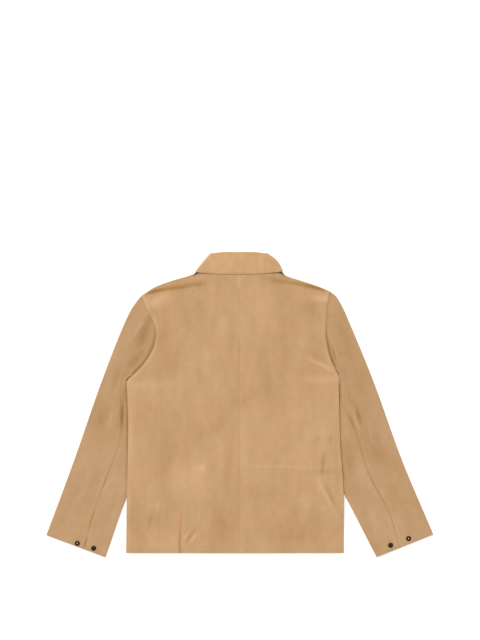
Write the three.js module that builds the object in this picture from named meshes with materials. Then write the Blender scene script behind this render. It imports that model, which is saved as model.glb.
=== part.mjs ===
// A suede jacket laid flat on its front, seen from the back: the body, two-piece sleeves,
// a turn-down collar and snaps. Millimetres, +X to the right, +Y to the collar, +Z up.
// Origin: on the resting surface, under the middle of the outline.
import * as THREE from 'three';

// Cloth
const WALL = 1.4; // suede thickness
const UNDERCOLLAR_WALL = 1.0;
const SEAM_GAP = 0.3; // between pieces that are sewn together
const LAYER_GAP = 2.2; // air between the back and the front of the flat garment
const TUBE_HEIGHT = 2 * WALL + LAYER_GAP; // a flattened sleeve, outside
const TOP_LAYER = TUBE_HEIGHT - WALL / 2; // middle of the upper wall
const FOLD_RADIUS = (TUBE_HEIGHT - WALL) / 2; // middle of the wall, at a folded edge
const CURL_WIDTH = 22; // how far in from side and shoulder seams the back curls down
const TUCK_GAP = 0.4; // between a sleeve's inner fold and the body's side that lies on it

// Body
const HEM = -372.6;
const CENTRE = -2; // x of the centre-back and centre-front lines
const LAP = 17; // how far each front runs past the centre
const LAP_LIFT = 1.9; // the lapped fronts lie on their snaps
const LAP_STEP = WALL + 0.5;
const LAP_FADE = [20, 72]; // distance from the centre where the lap's lift starts to end, and ends
const LAP_DROP = { edge: 3, centre: 1 }; // how far the lap's top lies below the end of the neck seam
const PUFF_HEIGHT = 2.0; // rise of the back over the lapped fronts
const PUFF_WIDTH = 85;

// Collar, measured from the centre line
const COLLAR_MIDDLE = 5.6; // height of the flattened neck ring's middle
const STAND_HALF = 1.9; // half height of the ring that the stand makes
const FALL_HALF = 4.9; // half height of the ring that the fall makes
const NECK_MIDDLE = 330; // height up the cloth of the neck opening's middle
const FRONT_COLLAR_LIFT = COLLAR_MIDDLE - STAND_HALF - WALL / 2;
const BACK_COLLAR_LIFT = COLLAR_MIDDLE + STAND_HALF - TOP_LAYER;
const COLLAR_LIFT_OVAL = { up: 290, halfWide: 125, halfTall: 115, full: 1.02, none: 1.7 };

// Snaps
const SNAP_RADIUS = 6.5;
const SNAP_HEIGHT = 1.6;
const RING_INNER_RADIUS = 3.4;
const FRONT_SNAPS = { count: 6, top: 190, spacing: 95 };

// Cells of the cloth's grid
const SIDE_SAMPLES = 60;
const ARMHOLE_CELLS = 10;
const UNDER_CELLS = 2;
const SHOULDER_CELLS = 6;
const NECK_CELLS = 5;
const SLEEVE_CELLS = 13;
const ARMHOLE_FADE = 8; // how soon the sleeve's rows lose the armhole's curve
const SLEEVE_FAN = 1.6; // sleeve rows crowd towards the armpit, so that they fan out round it
const FOLD_CELLS = 4;
const STAND_CELLS = 2;
const FALL_CELLS = 4;
const SNAP_SIDES = 20;
const FRONT_SEAM = 0.86; // where the hidden front seam meets the cuff, as a share from its outer fold

// Outlines of each half: a row for each bend, as distance out from x = 0 and height up the cloth.
const HALVES = {
  left: {
    sign: -1,
    side: [
      { out: 284.4, up: HEM },
      { out: 282.6, up: -242 },
      { out: 278.9, up: -50 },
      { out: 282.9, up: 60 },
    ],
    sideRows: [HEM, -330, -292, -248, -190, -130, -70, -20, 15, 34, 47, 60],
    backArmhole: [
      { out: 282.9, up: 60 },
      { out: 251, up: 90 },
      { out: 229, up: 118 },
      { out: 215.5, up: 146 },
      { out: 210.5, up: 180 },
      { out: 217, up: 206 },
      { out: 231, up: 234 },
      { out: 247.5, up: 269.5 },
    ],
    frontArmhole: [
      { out: 282.9, up: 60 },
      { out: 246, up: 84 },
      { out: 212, up: 122 },
      { out: 202, up: 172 },
      { out: 213, up: 216 },
      { out: 247.5, up: 269.5 },
    ],
    shoulder: [
      { out: 90, up: 338 },
      { out: 121.9, up: 322.5 },
      { out: 171.9, up: 307.5 },
      { out: 211.9, up: 292.5 },
      { out: 247.5, up: 269.5 },
    ],
    sleeveOuter: [
      { out: 249.8, up: 266.4 },
      { out: 269.4, up: 240 },
      { out: 289.4, up: 200 },
      { out: 344.4, up: 60 },
      { out: 414.4, up: -140 },
      { out: 484, up: -328 },
    ],
    sleeveInner: [
      { out: 286.8, up: 63.5 },
      { out: 286.4, up: 36 },
      { out: 276, up: -2 },
      { out: 252, up: -54 },
      { out: 243, up: -110 },
      { out: 258, up: -176 },
      { out: 287, up: -243 },
      { out: 336, up: -383.2 },
    ],
    backSeam: [
      { out: 264, up: 71 },
      { out: 286, up: 75 },
      { out: 297, up: 50 },
      { out: 298, up: 4 },
      { out: 293, up: -63.5 },
      { out: 327, up: -169.5 },
      { out: 361.6, up: -264 },
      { out: 390, up: -363 },
    ],
    tuck: { from: 150, full: 222, top: 60, topFull: 36, bottomFull: -249, bottom: -330 },
    cuffSeam: 0.635,
    cap: { out: 365.4, up: -360.5 },
    ring: { out: 406.1, up: -348.3 },
  },
  right: {
    sign: 1,
    side: [
      { out: 260.2, up: HEM },
      { out: 259.6, up: -215 },
      { out: 251.5, up: -100 },
      { out: 248.2, up: 20 },
      { out: 246.9, up: 75 },
    ],
    sideRows: [HEM, -325, -283, -238, -180, -120, -60, -10, 28, 49, 62, 75],
    backArmhole: [
      { out: 246.9, up: 75 },
      { out: 231, up: 108 },
      { out: 221.5, up: 138 },
      { out: 216.2, up: 172 },
      { out: 216.4, up: 208 },
      { out: 219.4, up: 246 },
      { out: 226.5, up: 281 },
    ],
    frontArmhole: [
      { out: 246.9, up: 75 },
      { out: 224, up: 102 },
      { out: 207, up: 146 },
      { out: 203, up: 198 },
      { out: 211, up: 244 },
      { out: 226.5, up: 281 },
    ],
    shoulder: [
      { out: 86, up: 338 },
      { out: 114.4, up: 321.3 },
      { out: 155.6, up: 307.5 },
      { out: 200.6, up: 292.5 },
      { out: 226.5, up: 281 },
    ],
    sleeveOuter: [
      { out: 230, up: 278.6 },
      { out: 240, up: 270.5 },
      { out: 258.1, up: 240 },
      { out: 275.6, up: 200 },
      { out: 333.1, up: 60 },
      { out: 405.6, up: -140 },
      { out: 484, up: -326 },
    ],
    sleeveInner: [
      { out: 249.6, up: 75 },
      { out: 250.8, up: 49 },
      { out: 243, up: 14 },
      { out: 220, up: -42 },
      { out: 212, up: -98 },
      { out: 228, up: -166 },
      { out: 263, up: -230 },
      { out: 342, up: -383.2 },
    ],
    backSeam: [
      { out: 239, up: 91 },
      { out: 256, up: 88 },
      { out: 266, up: 62 },
      { out: 275, up: 10 },
      { out: 286, up: -50 },
      { out: 302.4, up: -109 },
      { out: 328, up: -184 },
      { out: 374, up: -273 },
      { out: 400, up: -358 },
    ],
    tuck: { from: 118, full: 188, top: 75, topFull: 51, bottomFull: -240, bottom: -325 },
    cuffSeam: 0.59,
    cap: { out: 377.1, up: -353 },
    ring: { out: 421.9, up: -336.3 },
  },
};

// Collar lines, out from the centre line: the neck seam, the fold and the edges.
const COLLAR = {
  neckBack: [{ out: 0.2, up: 346 }, { out: 50, up: 345 }, { out: 88, up: 338 }],
  foldBack: [{ out: 0.2, up: 381 }, { out: 40, up: 379.8 }, { out: 68, up: 374.6 }],
  fallBack: [{ out: 0.2, up: 324 }, { out: 60, up: 325.5 }, { out: 109, up: 330 }],
  standSide: [{ out: 68, up: 374.6 }, { out: 80, up: 357 }, { out: 88, up: 338 }],
  fallSide: [{ out: 68, up: 374.6 }, { out: 96, up: 352 }, { out: 109, up: 330 }],
  foldFront: [
    { out: 2, up: 257 },
    { out: 34, up: 285 },
    { out: 60, up: 332 },
    { out: 68, up: 374.6 },
  ],
  neckFront: [
    { out: 2, up: 230 },
    { out: 40, up: 252 },
    { out: 72, up: 294 },
    { out: 88, up: 338 },
  ],
  fallFront: [{ out: 64, up: 194 }, { out: 93, up: 262 }, { out: 109, up: 330 }],
  neckEnd: [{ out: 2, up: 257 }, { out: 2, up: 230 }],
  fallEnd: [{ out: 2, up: 257 }, { out: 30, up: 228 }, { out: 64, up: 194 }],
};

// The undercollar lies between fall and back, and shows as a tongue at the fall's corner.
const UNDERCOLLAR = {
  top: [{ out: 0.2, up: 374 }, { out: 36, up: 373 }, { out: 62, up: 369 }],
  bottom: [
    { out: 0.2, up: 326 },
    { out: 60, up: 327 },
    { out: 92, up: 326 },
    { out: 115, up: 320 },
  ],
  side: [
    { out: 62, up: 369 },
    { out: 89, up: 348 },
    { out: 102, up: 331 },
    { out: 115, up: 320 },
  ],
  height: COLLAR_MIDDLE + FALL_HALF - WALL / 2 - SEAM_GAP - UNDERCOLLAR_WALL / 2,
};

// Broad folds of the cloth that is seen: a row for each, with its middle, the angle that it runs
// at, its half length, its half width and its height above or below the layer.
const FOLDS = [
  { x: -160, y: 290, angle: 10, long: 60, wide: 15, high: -0.9 },
  { x: 158, y: 296, angle: -10, long: 60, wide: 15, high: -0.9 },
  { x: -196, y: 243, angle: 20, long: 34, wide: 16, high: 1.3 },
  { x: 186, y: 246, angle: -15, long: 40, wide: 18, high: 1.2 },
  { x: 200, y: 98, angle: -26, long: 46, wide: 18, high: 1.8 },
  { x: -257, y: 188, angle: 63, long: 44, wide: 14, high: 1.7 },
  { x: -318, y: -40, angle: 70, long: 70, wide: 16, high: 1.4 },
  { x: 322, y: -150, angle: -64, long: 62, wide: 16, high: 1.6 },
  { x: 198, y: -205, angle: -60, long: 36, wide: 18, high: 1.4 },
  { x: -90, y: -190, angle: 76, long: 95, wide: 34, high: 1.2 },
  { x: 96, y: -120, angle: 84, long: 120, wide: 36, high: 0.9 },
];

const COLOURS = {
  body: 0xc9a175,
  sleeve: 0xc2986c,
  collar: 0xd4aa7d,
  undercollar: 0x464b32,
  snap: 0x2b211a,
};

// Goes smoothly from 0 at one value to 1 at the other.
function ramp(from, to, value) {
  return THREE.MathUtils.smoothstep((value - from) / (to - from), 0, 1);
}

function point(x, y) {
  return new THREE.Vector2(x, y);
}

// Rows of a half's table as plan points, on the left or right of a line.
function rowsToPlan(rows, sign, middle = 0) {
  return rows.map((row) => point(middle + sign * row.out, row.up));
}

// A smooth line through plan points, as equally spaced points.
function smoothLine(points, cells) {
  const bends = points.map((bend) => new THREE.Vector3(bend.x, bend.y, 0));
  const curve = new THREE.CatmullRomCurve3(bends, false, 'centripetal');
  return curve.getSpacedPoints(cells).map((here) => point(here.x, here.y));
}

function lineLength(line) {
  return line.slice(1).reduce((sum, end, i) => sum + end.distanceTo(line[i]), 0);
}

// The point at a fraction of a line's length.
function pointAt(line, fraction) {
  let rest = fraction * lineLength(line);
  for (let i = 1; i < line.length; i += 1) {
    const step = line[i].distanceTo(line[i - 1]);
    if (rest <= step || i === line.length - 1) {
      return line[i - 1].clone().lerp(line[i], rest / step);
    }
    rest -= step;
  }
  return line[0].clone();
}

function divide(line, cells) {
  return Array.from({ length: cells + 1 }, (_, i) => pointAt(line, i / cells));
}

// A line down the sleeve's inner side, with its points crowded towards the armpit.
function fannedLine(points) {
  const fine = smoothLine(points, 10 * SLEEVE_CELLS);
  const rows = Array.from({ length: SLEEVE_CELLS + 1 }, (_, j) => j / SLEEVE_CELLS);
  return rows.map((share) => pointAt(fine, share ** SLEEVE_FAN));
}

// The fraction of its length at which each point of a line lies.
function fractions(line) {
  const total = lineLength(line);
  let run = 0;
  return line.map((end, i) => {
    run += i ? end.distanceTo(line[i - 1]) : 0;
    return run / total;
  });
}

// Unit vectors across a line, all on the side where most of the given inner points lie.
function acrossLine(line, inner) {
  const across = line.map((_, i) => {
    const before = line[Math.max(i - 1, 0)];
    const after = line[Math.min(i + 1, line.length - 1)];
    const along = after.clone().sub(before).normalize();
    return point(-along.y, along.x);
  });
  const side = across.reduce((sum, unit, i) => sum + unit.dot(inner(i).clone().sub(line[i])), 0);
  return side < 0 ? across.map((unit) => unit.negate()) : across;
}

function shifted(line, across, distance) {
  return line.map((here, i) => here.clone().addScaledVector(across[i], distance));
}

function distanceTo(line, here) {
  let nearest = Infinity;
  for (let i = 1; i < line.length; i += 1) {
    const step = line[i].clone().sub(line[i - 1]);
    const run = THREE.MathUtils.clamp(here.clone().sub(line[i - 1]).dot(step) / step.lengthSq(), 0, 1);
    nearest = Math.min(nearest, here.distanceTo(line[i - 1].clone().addScaledVector(step, run)));
  }
  return nearest;
}

// A patch of plan points between four lines: rows run up it, and columns run across. A fade
// over 1 lets the shape of the bottom line die away sooner.
function patch({ bottom, top, start, end, fade = 1 }) {
  const runAcross = fractions(top);
  const runUp = fractions(end);
  return end.map((_, j) => top.map((__, i) => {
    const u = runAcross[i];
    const low = (1 - runUp[j]) ** fade;
    const blend = bottom[i].clone().multiplyScalar(low).addScaledVector(top[i], 1 - low);
    blend.addScaledVector(start[j], 1 - u).addScaledVector(end[j], u);
    blend.addScaledVector(bottom[0], -(1 - u) * low);
    blend.addScaledVector(bottom.at(-1), -u * low);
    blend.addScaledVector(top[0], -(1 - u) * (1 - low));
    return blend.addScaledVector(top.at(-1), -u * (1 - low));
  }));
}

// Draws the named edges of a patch in by half a seam's gap.
function drawnIn(grid, edges) {
  const last = grid.length - 1;
  const end = grid[0].length - 1;
  const lines = {
    bottom: { cells: grid[0].map((_, i) => [0, i]), inner: (i) => grid[1][i] },
    top: { cells: grid[0].map((_, i) => [last, i]), inner: (i) => grid[last - 1][i] },
    start: { cells: grid.map((_, j) => [j, 0]), inner: (j) => grid[j][1] },
    end: { cells: grid.map((_, j) => [j, end]), inner: (j) => grid[j][end - 1] },
  };
  const moved = grid.map((row) => row.map((here) => here.clone()));
  for (const name of edges) {
    const { cells, inner } = lines[name];
    const across = acrossLine(cells.map(([j, i]) => grid[j][i]), inner);
    cells.forEach(([j, i], k) => moved[j][i].addScaledVector(across[k], SEAM_GAP / 2));
  }
  return moved;
}

function raised(grid, height) {
  return grid.map((row) => row.map((here) => new THREE.Vector3(here.x, here.y, height(here.x, here.y))));
}

// The closed wall whose middle runs through a grid of points.
function wallGeometry(sheet, thickness) {
  const rows = sheet.length;
  const columns = sheet[0].length;
  const faces = [[], []];
  for (let j = 0; j < rows; j += 1) {
    for (let i = 0; i < columns; i += 1) {
      const across = sheet[j][Math.min(i + 1, columns - 1)].clone().sub(sheet[j][Math.max(i - 1, 0)]);
      const along = sheet[Math.min(j + 1, rows - 1)][i].clone().sub(sheet[Math.max(j - 1, 0)][i]);
      const normal = across.cross(along).normalize();
      faces[0].push(sheet[j][i].clone().addScaledVector(normal, thickness / 2));
      faces[1].push(sheet[j][i].clone().addScaledVector(normal, -thickness / 2));
    }
  }
  const count = rows * columns;
  const triangles = [];
  const quad = (a, b, c, d) => triangles.push(a, b, c, a, c, d);
  for (let j = 0; j < rows - 1; j += 1) {
    for (let i = 0; i < columns - 1; i += 1) {
      const corner = j * columns + i;
      quad(corner, corner + 1, corner + columns + 1, corner + columns);
      quad(count + corner, count + corner + columns, count + corner + columns + 1, count + corner + 1);
    }
  }
  const rim = [];
  for (let i = 0; i < columns - 1; i += 1) rim.push(i);
  for (let j = 0; j < rows - 1; j += 1) rim.push(j * columns + columns - 1);
  for (let i = columns - 1; i > 0; i -= 1) rim.push((rows - 1) * columns + i);
  for (let j = rows - 1; j > 0; j -= 1) rim.push(j * columns);
  rim.forEach((here, k) => {
    const next = rim[(k + 1) % rim.length];
    quad(here, count + here, count + next, next);
  });
  const geometry = new THREE.BufferGeometry().setFromPoints([...faces[0], ...faces[1]]);
  geometry.setIndex(triangles);
  if (signedVolume(geometry) < 0) geometry.setIndex(triangles.toReversed());
  geometry.computeVertexNormals();
  return geometry;
}

function signedVolume(geometry) {
  const position = geometry.getAttribute('position');
  const index = geometry.getIndex();
  const corners = [0, 1, 2].map(() => new THREE.Vector3());
  let volume = 0;
  for (let k = 0; k < index.count; k += 3) {
    corners.forEach((corner, n) => corner.fromBufferAttribute(position, index.getX(k + n)));
    volume += corners[0].dot(corners[1].clone().cross(corners[2])) / 6;
  }
  return volume;
}

// Heights of the cloth

function foldHeight(x, y) {
  return FOLDS.reduce((sum, fold) => {
    const angle = THREE.MathUtils.degToRad(fold.angle);
    const along = (x - fold.x) * Math.cos(angle) + (y - fold.y) * Math.sin(angle);
    const across = (y - fold.y) * Math.cos(angle) - (x - fold.x) * Math.sin(angle);
    return sum + fold.high * Math.exp(-((along / fold.long) ** 2) - (across / fold.wide) ** 2);
  }, 0);
}

// How far, from 0 to 1, the collar under the fronts lifts the body here.
function collarShare(x, y) {
  const oval = COLLAR_LIFT_OVAL;
  const away = Math.hypot((x - CENTRE) / oval.halfWide, (y - oval.up) / oval.halfTall);
  return ramp(oval.none, oval.full, away);
}

// The body's side lies on the sleeve's inner fold.
function tuckLift(half, x, y) {
  const { from, full, top, topFull, bottomFull, bottom } = half.tuck;
  const run = ramp(top, topFull, y) * ramp(bottom, bottomFull, y);
  return (TUBE_HEIGHT + TUCK_GAP) * run * ramp(from, full, half.sign * x);
}

function frontHeight(half, x, y) {
  const share = collarShare(x, y);
  const lap = ramp(LAP_FADE[1], LAP_FADE[0], Math.abs(x - CENTRE));
  const above = half.sign > 0 ? LAP_STEP * lap : 0;
  const lift = FRONT_COLLAR_LIFT * share + LAP_LIFT * lap * (1 - share);
  return WALL / 2 + lift + above + tuckLift(half, x, y);
}

function backHeight(half, seams, x, y) {
  const puff = PUFF_HEIGHT * Math.exp(-(((x - CENTRE) / PUFF_WIDTH) ** 2)) * (1 - collarShare(x, y));
  const edge = Math.min(...seams.map((seam) => distanceTo(seam, point(x, y))));
  const curl = ramp(CURL_WIDTH, 0, edge);
  const lift = BACK_COLLAR_LIFT * collarShare(x, y) + tuckLift(half, x, y);
  return TOP_LAYER + puff + lift + foldHeight(x, y) * (1 - curl) - (LAYER_GAP - SEAM_GAP) * curl;
}

// Lines that pieces share, so that their seams lie together.
function sharedLines(half) {
  const side = smoothLine(rowsToPlan(half.side, half.sign), SIDE_SAMPLES);
  const topOfSide = side.at(-1).y;
  const atHeight = (up) => {
    const i = Math.max(1, side.findIndex((here) => here.y >= Math.min(up, topOfSide)));
    const run = (up - side[i - 1].y) / (side[i].y - side[i - 1].y);
    return side[i - 1].clone().lerp(side[i], run);
  };
  return {
    side: half.sideRows.map(atHeight),
    backArmhole: smoothLine(rowsToPlan(half.backArmhole, half.sign), ARMHOLE_CELLS),
    frontArmhole: smoothLine(rowsToPlan(half.frontArmhole, half.sign), ARMHOLE_CELLS),
    shoulder: smoothLine(rowsToPlan(half.shoulder, half.sign), SHOULDER_CELLS),
    neckBack: smoothLine(rowsToPlan(COLLAR.neckBack, half.sign, CENTRE), NECK_CELLS),
    neckFront: smoothLine(rowsToPlan(COLLAR.neckFront, half.sign, CENTRE), NECK_CELLS),
  };
}

// A body panel in plan: from its centre edge out to side seam and armhole, hem to neck.
function bodyPlan(lines, armhole, neck, centreX) {
  const end = [...lines.side, ...armhole.slice(1)];
  const top = [...neck, ...lines.shoulder.slice(1)];
  const hemCorner = end[0];
  const { lerp } = THREE.MathUtils;
  const bottom = fractions(top).map((run) => point(lerp(centreX, hemCorner.x, run), HEM));
  const start = fractions(end).map((run) => point(centreX, lerp(HEM, top[0].y, run)));
  return drawnIn(patch({ bottom, top, start, end }), ['top', 'start', 'end']);
}

function backPanel(half) {
  const lines = sharedLines(half);
  const centreX = lines.neckBack[0].x;
  const plan = bodyPlan(lines, lines.backArmhole, lines.neckBack, centreX);
  const seams = [lines.side, lines.shoulder];
  return wallGeometry(raised(plan, (x, y) => backHeight(half, seams, x, y)), WALL);
}

function frontPanel(half) {
  const lines = sharedLines(half);
  const centreX = CENTRE - half.sign * LAP;
  const neckEnd = lines.neckFront[0].y;
  const tab = [point(centreX, neckEnd - LAP_DROP.edge), point(CENTRE, neckEnd - LAP_DROP.centre)];
  const neck = [...tab, ...lines.neckFront];
  const plan = bodyPlan(lines, lines.frontArmhole, neck, centreX);
  return wallGeometry(raised(plan, (x, y) => frontHeight(half, x, y)), WALL);
}

// The sleeve is a flattened tube. Each piece runs over one folded edge, from the back seam
// on the upper layer round to the front seam on the lower one.
function sleeveLines(half) {
  const lines = sharedLines(half);
  const { sign } = half;
  const outer = smoothLine(rowsToPlan(half.sleeveOuter, sign), SLEEVE_CELLS);
  const inner = fannedLine(rowsToPlan(half.sleeveInner, sign));
  const outerAcross = acrossLine(outer, (j) => inner[j]);
  const innerAcross = acrossLine(inner, (j) => outer[j]);
  const offBody = (armhole) => shifted(armhole, acrossLine(armhole, () => outer[SLEEVE_CELLS]), SEAM_GAP);
  const backArmhole = offBody(lines.backArmhole);
  const frontArmhole = offBody(lines.frontArmhole);
  const backSeam = fannedLine(rowsToPlan(half.backSeam, sign));
  backSeam[0].copy(backArmhole[1]);
  backSeam[SLEEVE_CELLS].copy(pointAt([outer.at(-1), inner.at(-1)], half.cuffSeam));
  return { backArmhole, frontArmhole, outer, inner, outerAcross, innerAcross, backSeam };
}

// One layer between two lines that run down the sleeve, with its armhole edge and its cuff edge.
function sleeveLayer(armholeEdge, fromLine, toLine) {
  const cuff = divide([fromLine.at(-1), toLine.at(-1)], armholeEdge.length - 1);
  return patch({ bottom: armholeEdge, top: cuff, start: fromLine, end: toLine, fade: ARMHOLE_FADE });
}

// The points of a folded edge between the upper layer and the lower one.
function foldPoints(edge, across, row) {
  return Array.from({ length: FOLD_CELLS - 1 }, (_, k) => {
    const angle = Math.PI * (0.5 - (k + 1) / FOLD_CELLS);
    const reach = FOLD_RADIUS * Math.cos(angle);
    const plan = edge[row].clone().addScaledVector(across[row], -reach);
    return new THREE.Vector3(plan.x, plan.y, TUBE_HEIGHT / 2 + FOLD_RADIUS * Math.sin(angle));
  });
}

function sleevePiece(upperPlan, lowerPlan, edge, across) {
  const upper = raised(upperPlan, (x, y) => TOP_LAYER + foldHeight(x, y));
  const lower = raised(lowerPlan, () => WALL / 2);
  const sheet = upper.map((row, j) => (
    [...row, ...foldPoints(edge, across, j), ...lower[j].toReversed()]));
  return wallGeometry(sheet, WALL);
}

// Top sleeve and under sleeve of one half, as flattened walls round the two folded edges.
function sleevePieces(half) {
  const lines = sleeveLines(half);
  const { backArmhole, frontArmhole, outer, inner, outerAcross, innerAcross, backSeam } = lines;
  const outerFold = shifted(outer, outerAcross, TUBE_HEIGHT / 2);
  const innerFold = shifted(inner, innerAcross, TUBE_HEIGHT / 2);
  const frontSeamEnd = pointAt([outer.at(-1), inner.at(-1)], FRONT_SEAM);
  const roundArmpit = rowsToPlan(half.backSeam.slice(1, 3), half.sign);
  const frontSeam = fannedLine([frontArmhole[1], ...roundArmpit, frontSeamEnd]);
  const layer = (armholeEdge, fromLine, toLine) => (
    drawnIn(sleeveLayer(armholeEdge, fromLine, toLine), ['start']));
  const topEdge = (armhole) => [...armhole.slice(1, -1), outerFold[0]];
  const underEdge = (armhole) => divide([armhole[1], innerFold[0]], UNDER_CELLS);
  return {
    top: sleevePiece(
      layer(topEdge(backArmhole), backSeam, outerFold),
      layer(topEdge(frontArmhole), frontSeam, outerFold),
      outerFold,
      outerAcross,
    ),
    under: sleevePiece(
      layer(underEdge(backArmhole), backSeam, innerFold),
      layer(underEdge(frontArmhole), frontSeam, innerFold),
      innerFold,
      innerAcross,
    ),
  };
}

// The collar is a ring round the neck, flattened: the stand inside and the fall outside it,
// joined at the fold. Each row runs from the centre back round the side to the centre front.
function collarRing({ back, front, side }, halfHeight, outward) {
  const upper = back.map((here) => new THREE.Vector3(here.x, here.y, COLLAR_MIDDLE + halfHeight));
  const lower = front.map((here) => new THREE.Vector3(here.x, here.y, COLLAR_MIDDLE - halfHeight));
  const round = Array.from({ length: FOLD_CELLS - 1 }, (_, k) => {
    const share = (k + 1) / FOLD_CELLS;
    const angle = Math.PI * (0.5 - share);
    const plan = back.at(-1).clone().lerp(front.at(-1), share);
    plan.addScaledVector(side, halfHeight * Math.cos(angle));
    return new THREE.Vector3(plan.x, plan.y, COLLAR_MIDDLE + halfHeight * Math.sin(angle));
  });
  const ring = [...upper, ...round, ...lower.toReversed()];
  return outward ? ring.map((here, i) => here.add(outward[i])) : ring;
}

// The collar in plan: the stand and the fall, each as a back area and a front area that meet at
// the side line. Their rows run from the seam or edge up to the fold.
function collarPlan(half) {
  const { neckBack, neckFront } = sharedLines(half);
  const line = (rows, cells) => smoothLine(rowsToPlan(rows, half.sign, CENTRE), cells);
  const down = (rows, cells) => line(rows, cells).toReversed();
  const foldBack = line(COLLAR.foldBack, NECK_CELLS);
  const foldFront = line(COLLAR.foldFront, NECK_CELLS);
  const fallEdge = line(COLLAR.fallBack, NECK_CELLS);
  const frontEdge = line(COLLAR.fallFront, NECK_CELLS);
  const standSide = down(COLLAR.standSide, STAND_CELLS);
  const fallSide = down(COLLAR.fallSide, FALL_CELLS);
  const standStart = divide([neckBack[0], foldBack[0]], STAND_CELLS);
  const fallStart = divide([fallEdge[0], foldBack[0]], FALL_CELLS);
  const standEnd = down(COLLAR.neckEnd, STAND_CELLS);
  const fallEnd = down(COLLAR.fallEnd, FALL_CELLS);
  const area = (bottom, top, start, end, seams) => drawnIn(patch({ bottom, top, start, end }), seams);
  return {
    foldBack,
    foldFront,
    standSide,
    fallSide,
    standBack: area(neckBack, foldBack, standStart, standSide, ['bottom', 'start']),
    standFront: area(neckFront, foldFront, standEnd, standSide, ['bottom']),
    fallBack: area(fallEdge, foldBack, fallStart, fallSide, ['start']),
    fallFront: area(frontEdge, foldFront, fallEnd, fallSide, []),
  };
}

function collarPiece(half) {
  const plan = collarPlan(half);
  const { standBack, standFront, fallBack, fallFront } = plan;
  const away = (line, inner) => acrossLine(line, inner).map((across) => across.negate());
  const neckMiddle = point(CENTRE, NECK_MIDDLE);
  const standOut = away(plan.standSide, () => neckMiddle);
  const fallOut = away(plan.fallSide, () => neckMiddle);
  const stand = standBack.map((back, j) => (
    collarRing({ back, front: standFront[j], side: standOut[j] }, STAND_HALF)));
  const fall = fallBack.map((back, j) => (
    collarRing({ back, front: fallFront[j], side: fallOut[j] }, FALL_HALF)));
  const backOut = away(plan.foldBack, (i) => fallBack[0][i]);
  const frontOut = away(plan.foldFront, (i) => fallFront[0][i]);
  const corner = Array.from({ length: FOLD_CELLS - 1 }, (_, n) => (
    backOut.at(-1).clone().lerp(frontOut.at(-1), (n + 1) / FOLD_CELLS).normalize()));
  const foldOut = [...backOut, ...corner, ...frontOut.toReversed()];
  const foldRadius = (FALL_HALF - STAND_HALF) / 2;
  const fold = Array.from({ length: FOLD_CELLS - 1 }, (_, k) => {
    const share = (k + 1) / FOLD_CELLS;
    const reach = foldRadius * Math.sin(Math.PI * share);
    const outward = foldOut.map((across) => new THREE.Vector3(across.x * reach, across.y * reach, 0));
    const side = standOut.at(-1).clone().lerp(fallOut.at(-1), share).normalize();
    const halfHeight = STAND_HALF + foldRadius * (1 - Math.cos(Math.PI * share));
    return collarRing({ back: standBack.at(-1), front: standFront.at(-1), side }, halfHeight, outward);
  });
  return wallGeometry([...stand, ...fold, ...fall.toReversed()], WALL);
}

function undercollarPiece(half) {
  const line = (rows, cells) => smoothLine(rowsToPlan(rows, half.sign, CENTRE), cells);
  const bottom = line(UNDERCOLLAR.bottom, NECK_CELLS);
  const top = line(UNDERCOLLAR.top, NECK_CELLS);
  const start = divide([bottom[0], top[0]], FALL_CELLS);
  const end = line(UNDERCOLLAR.side, FALL_CELLS).toReversed();
  const plan = patch({ bottom, top, start, end });
  return wallGeometry(raised(plan, () => UNDERCOLLAR.height), UNDERCOLLAR_WALL);
}

// Snaps: a domed cap, and a ring-shaped one with a sunk middle. Their flat side is at z = 0.
function turned(profile) {
  const geometry = new THREE.LatheGeometry(profile.map(([r, z]) => point(r, z)), SNAP_SIDES);
  geometry.rotateX(Math.PI / 2);
  if (signedVolume(geometry) < 0) geometry.setIndex([...geometry.getIndex().array].reverse());
  return geometry;
}

const CAP_PROFILE = [
  [0, 0],
  [SNAP_RADIUS, 0],
  [SNAP_RADIUS, 0.4 * SNAP_HEIGHT],
  [0.85 * SNAP_RADIUS, 0.8 * SNAP_HEIGHT],
  [0.5 * SNAP_RADIUS, SNAP_HEIGHT],
  [0, SNAP_HEIGHT],
];
const RING_PROFILE = [
  [0, 0],
  [SNAP_RADIUS, 0],
  [SNAP_RADIUS, 0.5 * SNAP_HEIGHT],
  [0.86 * SNAP_RADIUS, SNAP_HEIGHT],
  [0.66 * SNAP_RADIUS, SNAP_HEIGHT],
  [RING_INNER_RADIUS, 0.45 * SNAP_HEIGHT],
  [0, 0.45 * SNAP_HEIGHT],
];

const jacket = new THREE.Group();

function add(name, geometry, color, { roughness = 0.95, metalness = 0 } = {}) {
  const mesh = new THREE.Mesh(geometry, new THREE.MeshStandardMaterial({ color, roughness, metalness }));
  mesh.name = name;
  jacket.add(mesh);
  return mesh;
}

const SNAP_FINISH = { roughness: 0.4, metalness: 0.9 };

for (const [name, half] of Object.entries(HALVES)) {
  const sleeve = sleevePieces(half);
  add(`back_${name}`, backPanel(half), COLOURS.body);
  add(`front_${name}`, frontPanel(half), COLOURS.body);
  add(`sleeve_top_${name}`, sleeve.top, COLOURS.sleeve);
  add(`sleeve_under_${name}`, sleeve.under, COLOURS.sleeve);
  add(`collar_${name}`, collarPiece(half), COLOURS.collar);
  add(`undercollar_${name}`, undercollarPiece(half), COLOURS.undercollar);
  for (const [kind, profile] of [['cap', CAP_PROFILE], ['ring', RING_PROFILE]]) {
    const snap = add(`cuff_${kind}_${name}`, turned(profile), COLOURS.snap, SNAP_FINISH);
    const x = half.sign * half[kind].out;
    const y = half[kind].up;
    snap.position.set(x, y, TUBE_HEIGHT + foldHeight(x, y) + SEAM_GAP);
  }
}

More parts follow.
